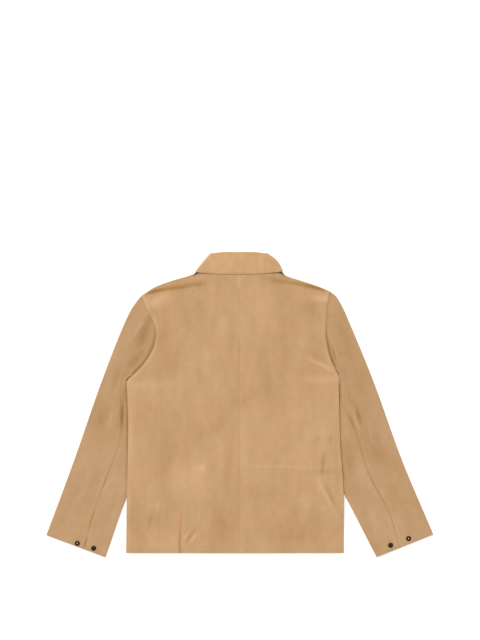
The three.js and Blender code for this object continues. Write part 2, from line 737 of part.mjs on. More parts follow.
for (let i = 0; i < FRONT_SNAPS.count; i += 1) {
  const y = FRONT_SNAPS.top - i * FRONT_SNAPS.spacing;
  const cloth = frontHeight(HALVES.left, CENTRE, y) - WALL / 2;
  const snap = add(`front_snap_${i + 1}`, turned(CAP_PROFILE), COLOURS.snap, SNAP_FINISH);
  snap.rotation.x = Math.PI;
  snap.position.set(CENTRE, y, cloth - SEAM_GAP);
}

export default jacket;
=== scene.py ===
import math

import bpy
import numpy as np
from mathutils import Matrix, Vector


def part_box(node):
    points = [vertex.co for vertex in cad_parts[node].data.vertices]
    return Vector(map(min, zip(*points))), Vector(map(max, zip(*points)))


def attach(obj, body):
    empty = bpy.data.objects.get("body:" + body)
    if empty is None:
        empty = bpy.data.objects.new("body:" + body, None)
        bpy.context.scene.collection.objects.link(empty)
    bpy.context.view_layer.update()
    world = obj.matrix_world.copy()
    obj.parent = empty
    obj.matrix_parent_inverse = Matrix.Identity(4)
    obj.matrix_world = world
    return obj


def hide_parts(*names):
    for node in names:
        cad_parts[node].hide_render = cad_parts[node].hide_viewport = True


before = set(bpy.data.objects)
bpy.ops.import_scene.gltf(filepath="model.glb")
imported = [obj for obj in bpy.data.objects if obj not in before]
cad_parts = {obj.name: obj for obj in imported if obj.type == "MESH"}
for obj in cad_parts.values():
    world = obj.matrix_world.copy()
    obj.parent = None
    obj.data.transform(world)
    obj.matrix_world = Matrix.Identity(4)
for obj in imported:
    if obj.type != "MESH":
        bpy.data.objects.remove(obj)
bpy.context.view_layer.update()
bpy.ops.object.select_all(action="DESELECT")

# The view is straight down on the jacket's back, 2.5 mm of floor to each of the picture's 640
# rows. The floor is pale. A broad soft lamp from the upper left and an even white sky light it.
MM = 0.001
PICTURE_HEIGHT = 1.6
PICTURE_MIDDLE = (0.0006, 0.21)
CLOTH_LEVEL = 5 * MM
FLOOR_LEVEL = -0.3 * MM
camera_lens = bpy.data.cameras.new("camera")
camera_lens.lens = 100
camera_lens.sensor_width = 36
camera_lens.clip_end = 50
camera_distance = PICTURE_HEIGHT * camera_lens.lens / camera_lens.sensor_width
camera = bpy.data.objects.new("camera", camera_lens)
camera.location = (*PICTURE_MIDDLE, camera_distance + CLOTH_LEVEL)
bpy.context.scene.collection.objects.link(camera)
bpy.context.scene.camera = camera

lamp = bpy.data.lights.new("window_light", "SUN")
lamp.energy = 1.84
lamp.angle = math.radians(36)
lamp.color = (1.0, 0.985, 0.96)
lamp_holder = bpy.data.objects.new("window_light", lamp)
lamp_holder.rotation_euler = (math.radians(-33), math.radians(-28), 0)
bpy.context.scene.collection.objects.link(lamp_holder)

sky = bpy.data.worlds.new("sky")
sky.use_nodes = True
sky.node_tree.nodes["Background"].inputs["Color"].default_value = (1, 0.975, 0.94, 1)
sky.node_tree.nodes["Background"].inputs["Strength"].default_value = 0.52
bpy.context.scene.world = sky
bpy.context.scene.view_settings.view_transform = "Standard"

bpy.ops.mesh.primitive_plane_add(size=14, location=(0, 0, FLOOR_LEVEL))
floor = bpy.context.object
floor.name = "floor"
floor_paint = bpy.data.materials.new("floor_paint")
floor_paint.use_nodes = True
paint = floor_paint.node_tree.nodes["Principled BSDF"]
paint.inputs["Base Color"].default_value = (0.97, 0.97, 0.97, 1)
paint.inputs["Roughness"].default_value = 1
paint.inputs["Specular IOR Level"].default_value = 0
paint.inputs["Emission Color"].default_value = (1, 1, 1, 1)
paint.inputs["Emission Strength"].default_value = 0.35
floor.data.materials.append(floor_paint)
floor.select_set(False)


# The back, in two halves with a seam down the middle: goat suede 1.4 mm thick, cut to shape,
# sewn to the fronts at sides and shoulders, its hem turned up and stitched. It lies uppermost.
# Its sides curl down to the fronts, and lie on the sleeves' inner folds.
WALL = 1.4
SEAM_GAP = 0.3
SEWN_GAP = 0.08
TUCK_GAP = 0.4
LAYER_GAP = 2.2
TUBE_HEIGHT = 2 * WALL + LAYER_GAP
TOP_LAYER = TUBE_HEIGHT - WALL / 2
CURL_WIDTH = 22
HEM = -372.6
CENTRE = -2
PUFF_HEIGHT = 2.0
PUFF_WIDTH = 85
COLLAR_MIDDLE = 5.6
STAND_HALF = 1.9
FALL_HALF = 4.9
FRONT_COLLAR_LIFT = COLLAR_MIDDLE - STAND_HALF - WALL / 2
BACK_COLLAR_LIFT = COLLAR_MIDDLE + STAND_HALF - TOP_LAYER
COLLAR_OVAL = {"up": 290, "half_wide": 125, "half_tall": 115, "full": 1.02, "none": 1.7}

# A row for each bend of each half's lines: out from the middle, and up the cloth, in mm.
HALVES = {
    "left": {
        "sign": -1,
        "side": [(284.4, HEM), (282.6, -242), (278.9, -50), (282.9, 60)],
        "back_armhole": [
            (282.9, 60), (251, 90), (229, 118), (215.5, 146), (210.5, 180), (217, 206),
            (231, 234), (247.5, 269.5),
        ],
        "front_armhole": [(282.9, 60), (246, 84), (212, 122), (202, 172), (213, 216), (247.5, 269.5)],
        "shoulder": [(90, 338), (121.9, 322.5), (171.9, 307.5), (211.9, 292.5), (247.5, 269.5)],
        "sleeve_outer": [
            (248.6, 268.6), (269.4, 240), (289.4, 200), (344.4, 60), (414.4, -140), (484, -328),
        ],
        "sleeve_inner": [
            (283.1, 62), (282.5, 37), (275, -2), (252, -54), (243, -110), (258, -176),
            (287, -243), (336, -383.2),
        ],
        "back_seam": [
            (264, 71), (286, 75), (297, 50), (298, 4), (293, -63.5), (327, -169.5),
            (361.6, -264), (390, -363),
        ],
        "tuck": {"start": 150, "full": 222, "top": 60, "top_full": 36, "bottom_full": -249, "bottom": -330},
        "cuff_seam": 0.635,
        "cap": (365.4, -360.5),
        "ring": (406.1, -348.3),
    },
    "right": {
        "sign": 1,
        "side": [(260.2, HEM), (259.6, -215), (251.5, -100), (248.2, 20), (246.9, 75)],
        "back_armhole": [
            (246.9, 75), (231, 108), (221.5, 138), (216.2, 172), (216.4, 208), (219.4, 246),
            (226.5, 281),
        ],
        "front_armhole": [(246.9, 75), (224, 102), (207, 146), (203, 198), (211, 244), (226.5, 281)],
        "shoulder": [(86, 338), (114.4, 321.3), (155.6, 307.5), (200.6, 292.5), (226.5, 281)],
        "sleeve_outer": [
            (227.9, 280.3), (240, 270.5), (258.1, 240), (275.6, 200), (333.1, 60), (405.6, -140),
            (484, -326),
        ],
        "sleeve_inner": [
            (247.1, 74.6), (247.8, 50), (242, 14), (220, -42), (212, -98), (228, -166),
            (263, -230), (342, -383.2),
        ],
        "back_seam": [
            (239, 91), (256, 88), (266, 62), (275, 10), (286, -50), (302.4, -109),
            (328, -184), (374, -273), (400, -358),
        ],
        "tuck": {"start": 118, "full": 188, "top": 75, "top_full": 51, "bottom_full": -240, "bottom": -325},
        "cuff_seam": 0.59,
        "cap": (377.1, -353),
        "ring": (421.9, -336.3),
    },
}
NECK_BACK = [(0, 346), (50, 345), (88, 338)]

# Folds and creases of the side that is seen. The columns are the middle's x and y, the angle in
# degrees, half the length, half the width, and the height.
BROAD_FOLDS = [
    (-160, 290, 10, 60, 15, -0.9),
    (158, 296, -10, 60, 15, -0.9),
    (-196, 243, 20, 34, 16, 1.3),
    (186, 246, -15, 40, 18, 1.2),
    (200, 98, -26, 46, 18, 1.8),
    (-257, 188, 63, 44, 14, 1.7),
    (-318, -40, 70, 70, 16, 1.4),
    (322, -150, -64, 62, 16, 1.6),
    (198, -205, -60, 36, 18, 1.4),
    (-90, -190, 76, 95, 34, 1.2),
    (96, -120, 84, 120, 36, 0.9),
]
BACK_CREASES = [
    (-152, 291, 9, 56, 5, -1.0),
    (-214, 281, 15, 28, 5, -0.9),
    (148, 299, -10, 62, 5, -1.0),
    (-208, 254, 36, 34, 8, 0.9),
    (186, 268, -14, 34, 8, 0.8),
    (208, 95, -26, 38, 6, 1.5),
    (194, 121, -26, 42, 11, -1.2),
    (214, -226, -62, 50, 4.5, 1.5),
    (226, -222, -64, 34, 6, -1.1),
    (209, -152, 84, 24, 5, -1.5),
    (214, -170, 2, 28, 6, -0.9),
    (106, -157, -2, 74, 3.5, 0.55),
    (196, -92, 70, 16, 9, -0.6),
    (229, -88, 80, 12, 6, -0.7),
    (-134, -331, 54, 15, 3.6, 1.2),
    (-114, -335, 58, 16, 3.6, 1.2),
    (-124, -334, 56, 15, 3.6, -1.0),
    (-225, -298, 80, 22, 4, -0.8),
    (-203, -258, 88, 14, 3.5, 0.8),
    (-262, -40, 88, 70, 7, 0.7),
    (-40, 60, 82, 60, 12, 0.5),
    (60, 190, 78, 50, 10, 0.5),
    (96, 30, 92, 70, 12, -0.5),
    (-130, 20, 100, 60, 14, -0.5),
    (-70, -250, 86, 50, 9, 0.6),
    (238, -60, -86, 60, 6, 0.8),
    (60, -300, 92, 40, 10, 0.5),
]


def ramp(start, full, value):
    """Goes smoothly from 0 at one value to 1 at the other."""
    share = np.clip((np.asarray(value, float) - start) / (full - start), 0, 1)
    return share * share * (3 - 2 * share)


def plateau(start, full, fading, gone, value):
    """Goes from 0 to 1, stays there, and goes back to 0."""
    return ramp(start, full, value) * ramp(gone, fading, value)


def bump(value, middle, width):
    """A soft hump, 1 high at its middle."""
    return np.exp(-(((np.asarray(value, float) - middle) / width) ** 2))


def lengths(line):
    """How far along a line each of its points lies."""
    return np.concatenate([[0], np.cumsum(np.linalg.norm(np.diff(line, axis=0), axis=1))])


def points_at(line, shares):
    """The points that lie at given shares of a line's length."""
    run = lengths(line)
    return np.column_stack([np.interp(np.asarray(shares) * run[-1], run, axis) for axis in line.T])


def smooth_line(bends, shares):
    """Points at shares of the length of a smooth line that runs through the bends."""
    bends = np.array(bends, float)
    bends = np.vstack([2 * bends[0] - bends[1], bends, 2 * bends[-1] - bends[-2]])
    run = np.linspace(0, 1, 40, endpoint=False)[:, None]
    fine = []
    for before, start, end, after in zip(bends, bends[1:], bends[2:], bends[3:]):
        first, middle, last = (
            math.sqrt(np.linalg.norm(b - a)) for a, b in ((before, start), (start, end), (end, after))
        )
        leave = (start - before) / first - (end - before) / (first + middle) + (end - start) / middle
        arrive = (end - start) / middle - (after - start) / (middle + last) + (after - end) / last
        leave, arrive = leave * middle, arrive * middle
        square = 3 * (end - start) - 2 * leave - arrive
        fine.append(start + leave * run + square * run**2 + (2 * (start - end) + leave + arrive) * run**3)
    return points_at(np.vstack([*fine, bends[-2:-1]]), shares)


def shares(cells, close_start=False, close_end=False):
    """Shares of a line, closer together at the ends that are named."""
    widths = np.ones(cells)
    if close_start:
        widths[:4] = (0.25, 0.35, 0.5, 0.75)
    if close_end:
        widths[-4:] = (0.75, 0.5, 0.35, 0.25)
    return np.concatenate([[0], np.cumsum(widths)]) / widths.sum()


def on_half(rows, sign, middle=0):
    """Rows of a half's table as plan points."""
    return [(middle + sign * out, up) for out, up in rows]


def patch(bottom, top, start, end, fade=1):
    """Plan points between four lines. A fade over 1 lets the bottom's shape die away sooner."""
    u = (lengths(top) / lengths(top)[-1])[None, :, None]
    run = lengths(end) / lengths(end)[-1]
    low = ((1 - run) ** fade)[:, None, None]
    grid = bottom[None] * low + top[None] * (1 - low) + start[:, None] * (1 - u) + end[:, None] * u
    grid = grid - (bottom[0] * (1 - u) + bottom[-1] * u) * low
    return grid - (top[0] * (1 - u) + top[-1] * u) * (1 - low)


def across_line(line, inner):
    """Unit vectors across a line, on the side where most of the inner points lie."""
    along = np.gradient(line, axis=0)
    across = np.column_stack([-along[:, 1], along[:, 0]])
    across /= np.linalg.norm(across, axis=1)[:, None]
    return across if ((inner - line) * across).sum() >= 0 else -across


def drawn_in(grid, edges):
    """A patch with its named edges drawn in by half a seam's gap."""
    moved = grid.copy()
    lines = {
        "bottom": (0, slice(None), 1, slice(None)),
        "top": (-1, slice(None), -2, slice(None)),
        "start": (slice(None), 0, slice(None), 1),
        "end": (slice(None), -1, slice(None), -2),
    }
    for name in edges:
        j, i, inner_j, inner_i = lines[name]
        moved[j, i] += across_line(grid[j, i], grid[inner_j, inner_i]) * SEWN_GAP / 2
    return moved


def distance_to(line, x, y):
    """How far, in plan, points lie from a line."""
    here = np.stack([x, y], -1)[..., None, :]
    start, step = line[:-1], np.diff(line, axis=0)
    run = np.clip(((here - start) * step).sum(-1) / (step**2).sum(-1), 0, 1)
    return np.linalg.norm(here - start - run[..., None] * step, axis=-1).min(-1)


def folds(table, x, y):
    """The height of a table's folds and creases."""
    height = np.zeros(np.shape(x))
    for middle_x, middle_y, angle, long, wide, high in table:
        turn = math.radians(angle)
        along = (x - middle_x) * math.cos(turn) + (y - middle_y) * math.sin(turn)
        across = (y - middle_y) * math.cos(turn) - (x - middle_x) * math.sin(turn)
        height = height + high * np.exp(-((along / long) ** 2) - (across / wide) ** 2)
    return height


def waver(x, y):
    """An unevenness from -1 to 1 that no piece of cloth is without."""
    first = np.sin(x / 29 + 1.3 * np.sin(y / 53 + 0.4)) * np.sin(y / 37 - 0.8 * np.sin(x / 61))
    return 0.6 * first + 0.4 * np.sin(x / 13 + y / 47 + 1.1) * np.sin(y / 19 - x / 71)


def uneven(share, x, y):
    """Next to 1, less an uneven share."""
    return 1 - share + share * waver(x, y)


def collar_share(x, y):
    """How far, from 0 to 1, the collar under the fronts lifts the body here."""
    oval = COLLAR_OVAL
    away = np.hypot((x - CENTRE) / oval["half_wide"], (y - oval["up"]) / oval["half_tall"])
    return ramp(oval["none"], oval["full"], away)


def tuck_lift(half, x, y):
    """The body's side lies on the sleeve's inner fold."""
    tuck = half["tuck"]
    run = plateau(tuck["bottom"], tuck["bottom_full"], tuck["top_full"], tuck["top"], y)
    return (TUBE_HEIGHT + TUCK_GAP) * run * ramp(tuck["start"], tuck["full"], half["sign"] * x)


def body_lines(half):
    """The lines of one half of the body, in plan, that its pieces share."""

    def line(name, places):
        return smooth_line(on_half(half[name], half["sign"]), places)

    along_armhole, fine = shares(64, close_end=True), np.linspace(0, 1, 61)
    return {
        "side": line("side", shares(112, close_start=True)),
        "back_armhole": line("back_armhole", along_armhole),
        "front_armhole": line("front_armhole", along_armhole),
        "shoulder": line("shoulder", shares(46, close_end=True)),
        "neck_back": smooth_line(on_half(NECK_BACK, half["sign"], CENTRE), shares(28, close_start=True)),
        "fine_side": line("side", fine),
        "fine_shoulder": line("shoulder", fine),
        "fine_armhole": line("back_armhole", fine),
    }


def body_plan(lines, armhole, neck, centre_x):
    """A body panel in plan: from its centre edge to side seam and armhole, from hem to neck."""
    end = np.vstack([lines["side"], armhole[1:]])
    top = np.vstack([neck, lines["shoulder"][1:]])
    run = lengths(top) / lengths(top)[-1]
    bottom = np.column_stack([centre_x + (end[0, 0] - centre_x) * run, np.full(len(run), HEM)])
    climb = lengths(end) / lengths(end)[-1]
    start = np.column_stack([np.full(len(climb), centre_x), HEM + (top[0, 1] - HEM) * climb])
    return drawn_in(patch(bottom, top, start, end), ["top", "start", "end"])


HEM_TURN = 27
CREASE_DEPTH = 1.3
CREASE_FADE = 14
BACK_WAVER = 0.22
COLLAR_FADE = (330, 300)

# What sewing does to the cloth's form: distance from the seam or hem, half width, height.
CENTRE_RIDGES = {"left": (5, 3.4, 0.95), "right": (5, 3.4, 0.3)}
CENTRE_GROOVE = (0, 2.2, -0.45)
ARMHOLE_RIDGE = (6, 5, 1.25)
ARMHOLE_GROOVE = (0, 2.4, -0.8)
SIDE_RIDGE = (7, 4.5, 0.7)
HEM_GROOVE = (HEM_TURN + 2.5, 1.6, -0.25)
HEM_EDGE = (0, 1.6, -0.55)
HEM_RISE = {"height": 0.3, "start": HEM_TURN + 2, "full": HEM_TURN - 1}

# Where the centre seam is pulled tight: height up the cloth, half length, strength.
CENTRE_PULLS = [(117, 34, 0.94), (-120, 60, 0.14)]
CENTRE_SLACK = 0.06
ARMHOLE_PULL = {"least": 0.12, "slack_above": 215, "tight_below": 150}


def hump(value, form):
    """A hump or dip with its middle, half width and height in a row."""
    middle, wide, high = form
    return high * bump(value, middle, wide)


def centre_pull(y):
    """How tight the centre seam is pulled. It all but vanishes above and below the blades."""
    blades, waist = (strength * bump(y, middle, long) for middle, long, strength in CENTRE_PULLS)
    return CENTRE_SLACK + blades * uneven(0.2, 0 * y, 3 * y) + waist


def armhole_pull(y):
    """How tight the armhole seam is pulled: hard towards the armpit, hardly at the shoulder."""
    pull = ARMHOLE_PULL
    return pull["least"] + (1 - pull["least"]) * ramp(pull["slack_above"], pull["tight_below"], y)


def back_height(half, x, y):
    """Middle of the back's wall over the floor."""
    lines, collar = half["lines"], collar_share(x, y)
    side, shoulder = distance_to(lines["fine_side"], x, y), distance_to(lines["fine_shoulder"], x, y)
    armhole, edge = distance_to(lines["fine_armhole"], x, y), np.minimum(side, shoulder)
    curl = ramp(CURL_WIDTH, 0, edge)
    puff = PUFF_HEIGHT * bump(x, CENTRE, PUFF_WIDTH) * (1 - collar)
    lift = BACK_COLLAR_LIFT * collar + tuck_lift(half, x, y)
    level = TOP_LAYER + puff + lift - (LAYER_GAP - SEAM_GAP) * curl
    broad = folds(BROAD_FOLDS, x, y) * (1 - curl)
    fine = CREASE_DEPTH * folds(BACK_CREASES, x, y) + BACK_WAVER * waver(x, y)
    from_centre = half["sign"] * (x - CENTRE)
    centre = hump(from_centre, half["centre_ridge"]) + hump(from_centre, CENTRE_GROOVE)
    centre = centre * centre_pull(y) * ramp(*COLLAR_FADE, y)
    armhole_seam = hump(armhole, ARMHOLE_RIDGE) * uneven(0.2, x, y)
    armhole_seam = armhole_seam + hump(armhole, ARMHOLE_GROOVE) * armhole_pull(y)
    side_seam = hump(side, SIDE_RIDGE) * uneven(0.3, x, y)
    up = y - HEM
    hem = HEM_RISE["height"] * ramp(HEM_RISE["start"], HEM_RISE["full"], up)
    hem = hem + hump(up, HEM_GROOVE) + hump(up, HEM_EDGE)
    return level + broad + fine * ramp(0, CREASE_FADE, edge) + centre + armhole_seam + side_seam + hem


# Where the nap lies lighter or darker, with painted shade in crease troughs and painted highlight on crease
# ridges, in the columns of the folds, with the tone last.
BACK_TONES_AND_SHADE = [
    (-160, 290, 9, 56, 5, -0.27),
    (-214, 281, 15, 26, 4, -0.3),
    (-100, 299, 6, 16, 9, -0.12),
    (148, 299, -10, 64, 4.5, -0.24),
    (196, 288, -16, 28, 4, -0.26),
    (90, 307, -6, 20, 12, -0.14),
    (-206, 255, 30, 32, 12, 0.2),
    (200, 263, -6, 34, 8, 0.2),
    (-2, 305, 88, 17, 4, 0.12),
    (208, 95, -26, 40, 5, 0.16),
    (188, 118, -24, 46, 13, -0.13),
    (-180, 92, 60, 52, 36, -0.08),
    (-190, 168, 84, 40, 26, -0.08),
    (-110, 230, 60, 40, 26, -0.05),
    (-72, 130, 70, 30, 16, 0.07),
    (214, -226, -62, 52, 3.6, 0.17),
    (228, -230, -66, 36, 5, -0.16),
    (209, -152, 84, 26, 5, -0.2),
    (214, -170, 2, 28, 6, -0.13),
    (106, -157, -2, 78, 3, 0.11),
    (194, -92, 60, 15, 10, -0.1),
    (229, -88, 80, 9, 6, -0.15),
    (-92, -158, 70, 9, 7, 0.2),
    (-30, -250, 88, 40, 10, 0.07),
    (-60, -60, 20, 40, 16, -0.05),
    (150, 150, 80, 60, 12, 0.06),
    (60, -220, 0, 60, 24, -0.05),
    (150, -330, 10, 70, 20, -0.05),
    (-138, -190, 20, 66, 44, 0.11),
    (-150, -350, 0, 90, 22, 0.04),
    (-134, -331, 54, 15, 3, 0.18),
    (-114, -335, 58, 15, 3, 0.18),
    (-124, -333, 56, 14, 3.4, -0.12),
    (-225, -298, 80, 20, 4, -0.14),
    (-203, -258, 88, 12, 3, 0.12),
    (40, 255, 84, 46, 26, 0.06),
    (-40, 200, 60, 30, 14, 0.07),
    (70, 60, 90, 110, 9, -0.05),
    (30, -120, 90, 120, 10, -0.05),
    (-190, 40, 90, 30, 60, 0.05),
    (-40, -290, 80, 60, 30, -0.05),
    (110, -290, 70, 60, 40, -0.05),
]

RIM_TURNS = 4
SEWN_ROUND = 0.12
SMOOTH_ANGLE = math.radians(50)


def sewn_edges(grid, **cells):
    """How round a sheet's rim is: full at its free edges, and next to nothing where it is sewn."""
    rounded = np.ones(grid.shape[:2])
    lines = {"bottom": rounded[0], "top": rounded[-1], "start": rounded[:, 0], "end": rounded[:, -1]}
    for edge, first in cells.items():
        lines[edge][first:] = SEWN_ROUND
    return rounded


def cloth_shell(name, grid, thickness, nap_and_painted_light, rounded=1.0):
    """A closed shell of even thickness round a sheet's middle surface in mm. Its rim is rounded."""
    rows, columns = grid.shape[:2]
    half_wall = thickness / 2
    normal = np.cross(np.gradient(grid, axis=1), np.gradient(grid, axis=0))
    normal = (normal / np.linalg.norm(normal, axis=-1)[..., None]).reshape(-1, 3)
    count = rows * columns
    corners = np.arange(count).reshape(rows, columns)
    rim = np.concatenate([corners[0, :-1], corners[:-1, -1], corners[-1, :0:-1], corners[:0:-1, 0]])
    inner = np.clip(rim // columns, 1, rows - 2) * columns + np.clip(rim % columns, 1, columns - 2)
    middle = grid.reshape(-1, 3).copy()
    outward = np.cross(np.roll(middle[rim], -1, axis=0) - np.roll(middle[rim], 1, axis=0), normal[rim])
    outward /= np.linalg.norm(outward, axis=-1)[:, None]
    outward *= np.sign(((middle[rim] - middle[inner]) * outward).sum())
    bulge = half_wall * np.broadcast_to(rounded, (rows, columns)).reshape(-1)[rim][:, None]
    middle[rim] -= outward * bulge
    points = [middle + normal * half_wall, middle - normal * half_wall]
    for k in range(1, RIM_TURNS):
        turn = math.pi * (0.5 - k / RIM_TURNS)
        out = outward * bulge * math.cos(turn)
        points.append(middle[rim] + out + normal[rim] * half_wall * math.sin(turn))
    above = np.stack([corners[:-1, :-1], corners[:-1, 1:], corners[1:, 1:], corners[1:, :-1]], -1)
    above = above.reshape(-1, 4)
    first_ring = 2 * count + np.arange(len(rim))
    rings = [rim, *(first_ring + k * len(rim) for k in range(RIM_TURNS - 1)), rim + count]
    bands = [np.column_stack([a, b, np.roll(b, -1), np.roll(a, -1)]) for a, b in zip(rings, rings[1:])]
    quads = np.vstack([above, above[:, ::-1] + count, *bands])
    points = np.vstack(points) * MM
    a, b, c, d = (points[quads[:, k]] for k in range(4))
    if (np.cross(b - a, c - a) * a + np.cross(c - a, d - a) * a).sum() < 0:
        quads = quads[:, ::-1]
    mesh = bpy.data.meshes.new(name)
    mesh.from_pydata(points.tolist(), [], quads.tolist())
    # The nap's own tone, together with painted shade in creases and seams and painted highlight on their
    # ridges.
    tone = mesh.attributes.new("nap_and_painted_light", "FLOAT", "POINT")
    tones = np.broadcast_to(nap_and_painted_light, (rows, columns)).reshape(-1).astype(np.float32)
    tone.data.foreach_set("value", np.concatenate([tones, tones, *[tones[rim]] * (RIM_TURNS - 1)]))
    piece = bpy.data.objects.new(name, mesh)
    bpy.context.scene.collection.objects.link(piece)
    bpy.context.view_layer.objects.active = piece
    piece.select_set(True)
    bpy.ops.object.shade_smooth_by_angle(angle=SMOOTH_ANGLE)
    piece.select_set(False)
    return piece


def stand_in(piece, node, material):
    """Gives a piece its material, and puts it in the stead of its solid."""
    piece.data.materials.append(material)
    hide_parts(node)
    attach(piece, "root")


def node_group(name, inputs, outputs):
    """An empty shader node group with its sockets and its input and output nodes."""
    group = bpy.data.node_groups.new(name, "ShaderNodeTree")
    for label, kind in inputs:
        group.interface.new_socket(label, in_out="INPUT", socket_type=kind)
    for label, kind in outputs:
        group.interface.new_socket(label, in_out="OUTPUT", socket_type=kind)
    return group, group.nodes.new("NodeGroupInput"), group.nodes.new("NodeGroupOutput")


def set_inputs(tree, node, **values):
    """Sets a node's inputs to values, or links them to sockets."""
    for label, value in values.items():
        socket = node.inputs[int(label[1:]) if label[1:].isdigit() else label.replace("_", " ")]
        if isinstance(value, bpy.types.NodeSocket):
            tree.links.new(value, socket)
        else:
            socket.default_value = value


def add_node(tree, kind, settings=(), **values):
    """A node with its settings and its inputs."""
    node = tree.nodes.new(kind)
    for label, value in dict(settings).items():
        setattr(node, label, value)
    set_inputs(tree, node, **values)
    return node


def combine(tree, operation, *values, clamp=False):
    """The result of a sum on two or three values or sockets."""
    settings = {"operation": operation, "use_clamp": clamp}
    inputs = {f"i{k}": value for k, value in enumerate(values)}
    return add_node(tree, "ShaderNodeMath", settings, **inputs).outputs[0]


def mixed(tree, share, first, second, blend="MIX"):
    """A blend of two colours."""
    settings = {"data_type": "RGBA", "blend_type": blend}
    return add_node(tree, "ShaderNodeMix", settings, i0=share, i6=first, i7=second).outputs[2]


def ranged(tree, value, **limits):
    """A value moved from one range to another."""
    return add_node(tree, "ShaderNodeMapRange", Value=value, **limits).outputs[0]


def stretched(tree, vector, scale):
    """A place in a pattern that is drawn out where the scale is under 1."""
    settings = {"operation": "MULTIPLY"}
    return add_node(tree, "ShaderNodeVectorMath", settings, i0=vector, i1=scale).outputs[0]


def noise(tree, vector, scale, detail=2.0, roughness=0.5):
    """Uneven spots."""
    return add_node(
        tree, "ShaderNodeTexNoise", Vector=vector, Scale=scale, Detail=detail, Roughness=roughness
    ).outputs["Fac"]


def wave(tree, vector, direction, scale, distortion):
    """Soft parallel bands."""
    return add_node(
        tree, "ShaderNodeTexWave", {"bands_direction": direction}, Vector=vector, Scale=scale,
        Distortion=distortion,
    ).outputs["Fac"]


def fine_relief(tree, height, strength, deep):
    """The normal of a surface with a relief too fine for its mesh, deep in metres."""
    return add_node(
        tree, "ShaderNodeBump", Strength=strength, Distance=deep, Height=height
    ).outputs[0]


def new_material(name):
    """A material, its tree, its shader, and the place on the object that its pattern reads."""
    material = bpy.data.materials.new(name)
    material.use_nodes = True
    tree = material.node_tree
    place = add_node(tree, "ShaderNodeTexCoord").outputs["Object"]
    return material, tree, tree.nodes["Principled BSDF"], place


# What the tone of the nap is made of: stretch across the hair's lay, scale, detail, roughness,
# and share of the tone.
NAP_FIELDS = {
    "clouds": (0.7, 7.0, 3.0, 0.5, 0.32),
    "patches": (0.6, 24.0, 3.0, 0.6, 0.3),
    "blots": (0.75, 70.0, 3.0, 0.6, 0.2),
    "streaks": (0.12, 42.0, 2.0, 0.5, 0.17),
    "wisps": (0.08, 95.0, 2.0, 0.5, 0.09),
    "grain": (1, 620.0, 4.0, 0.7, 0.24),
}
NAP_FIBRES = (0.35, 2100.0, 2.0, 0.6)
NAP_WARMTH = (13.0, 3.0, 0.6)


def suede_nap():
    """The nap of suede: its clouds, its long streaks, its grain, and the height of its fibres."""
    group, given, made = node_group(
        "suede_nap",
        [("Place", "NodeSocketVector")],
        [("Tone", "NodeSocketFloat"), ("Warmth", "NodeSocketFloat"), ("Height", "NodeSocketFloat")],
    )
    place = given.outputs["Place"]

    def field(stretch, scale, detail, roughness):
        return noise(group, stretched(group, place, (1, stretch, 1)), scale, detail, roughness)

    fields = {name: field(*values[:4]) for name, values in NAP_FIELDS.items()}
    tone = 0.0
    for name, (*_, share) in NAP_FIELDS.items():
        part = combine(group, "MULTIPLY_ADD", fields[name], share, -share / 2)
        tone = combine(group, "ADD", tone, part)
    fibres = combine(group, "MULTIPLY", field(*NAP_FIBRES), 0.4)
    shifted = add_node(
        group, "ShaderNodeVectorMath", {"operation": "ADD"}, i0=place, i1=(3.7, 1.9, 0.6)
    ).outputs[0]
    set_inputs(
        group, made, Tone=tone, Warmth=noise(group, shifted, *NAP_WARMTH),
        Height=combine(group, "MULTIPLY_ADD", fields["grain"], 0.6, fibres),
    )
    return group


SUEDE_NAP = suede_nap()
MIDDLE_TONE = 0.6


def suede(name, light, dark, warm, turn=0.0, seed=(0, 0, 0)):
    """Suede in a light and a dark tone and a warm tint. Its streaks run along a turned axis."""
    material, tree, shader, place = new_material(name)
    lay = add_node(tree, "ShaderNodeMapping", Vector=place, Location=seed, Rotation=(0, 0, turn))
    nap = add_node(tree, "ShaderNodeGroup", {"node_tree": SUEDE_NAP}, Place=lay.outputs[0])
    # The nap's tone from the mesh, with its painted shade and painted highlight.
    nap_and_painted_light = add_node(tree, "ShaderNodeAttribute", {"attribute_name": "nap_and_painted_light"}).outputs["Fac"]
    tone = combine(tree, "ADD", nap.outputs["Tone"], nap_and_painted_light)
    tone = combine(tree, "ADD", tone, MIDDLE_TONE, clamp=True)
    cloth = mixed(tree, tone, (*dark, 1), (*light, 1))
    blush = ranged(tree, nap.outputs["Warmth"], From_Min=0.4, From_Max=0.64)
    tint = mixed(tree, blush, (1.0, 1.0, 1.0, 1), (*warm, 1))
    set_inputs(
        tree, shader, Base_Color=mixed(tree, 1.0, cloth, tint, "MULTIPLY"),
        Roughness=ranged(tree, tone, To_Min=0.98, To_Max=0.86), Specular_IOR_Level=0.18,
        Sheen_Weight=0.12, Sheen_Roughness=0.6, Sheen_Tint=(1.0, 0.86, 0.7, 1),
        Normal=fine_relief(tree, nap.outputs["Height"], 0.45, 0.4 * MM),
    )
    return material


SUEDE_BODY = suede("suede_body", (0.785, 0.512, 0.302), (0.335, 0.17, 0.032), (1.012, 0.985, 0.975))
# Painted highlight beside a seam and painted shade in it: distance from the seam and half width.
SEAM_HIGHLIGHT = (6, 3.6)
SEAM_SHADE = (0, 2.4)


def seam_shade_and_highlight(distance, x, y, dark, light):
    """Painted shade in a seam and painted highlight on the ridge beside it, unevenly."""
    wear_and_painted_light = 0.7 + 0.5 * waver(1.7 * x, 1.7 * y)
    return wear_and_painted_light * (light * bump(distance, *SEAM_HIGHLIGHT) - dark * bump(distance, *SEAM_SHADE))


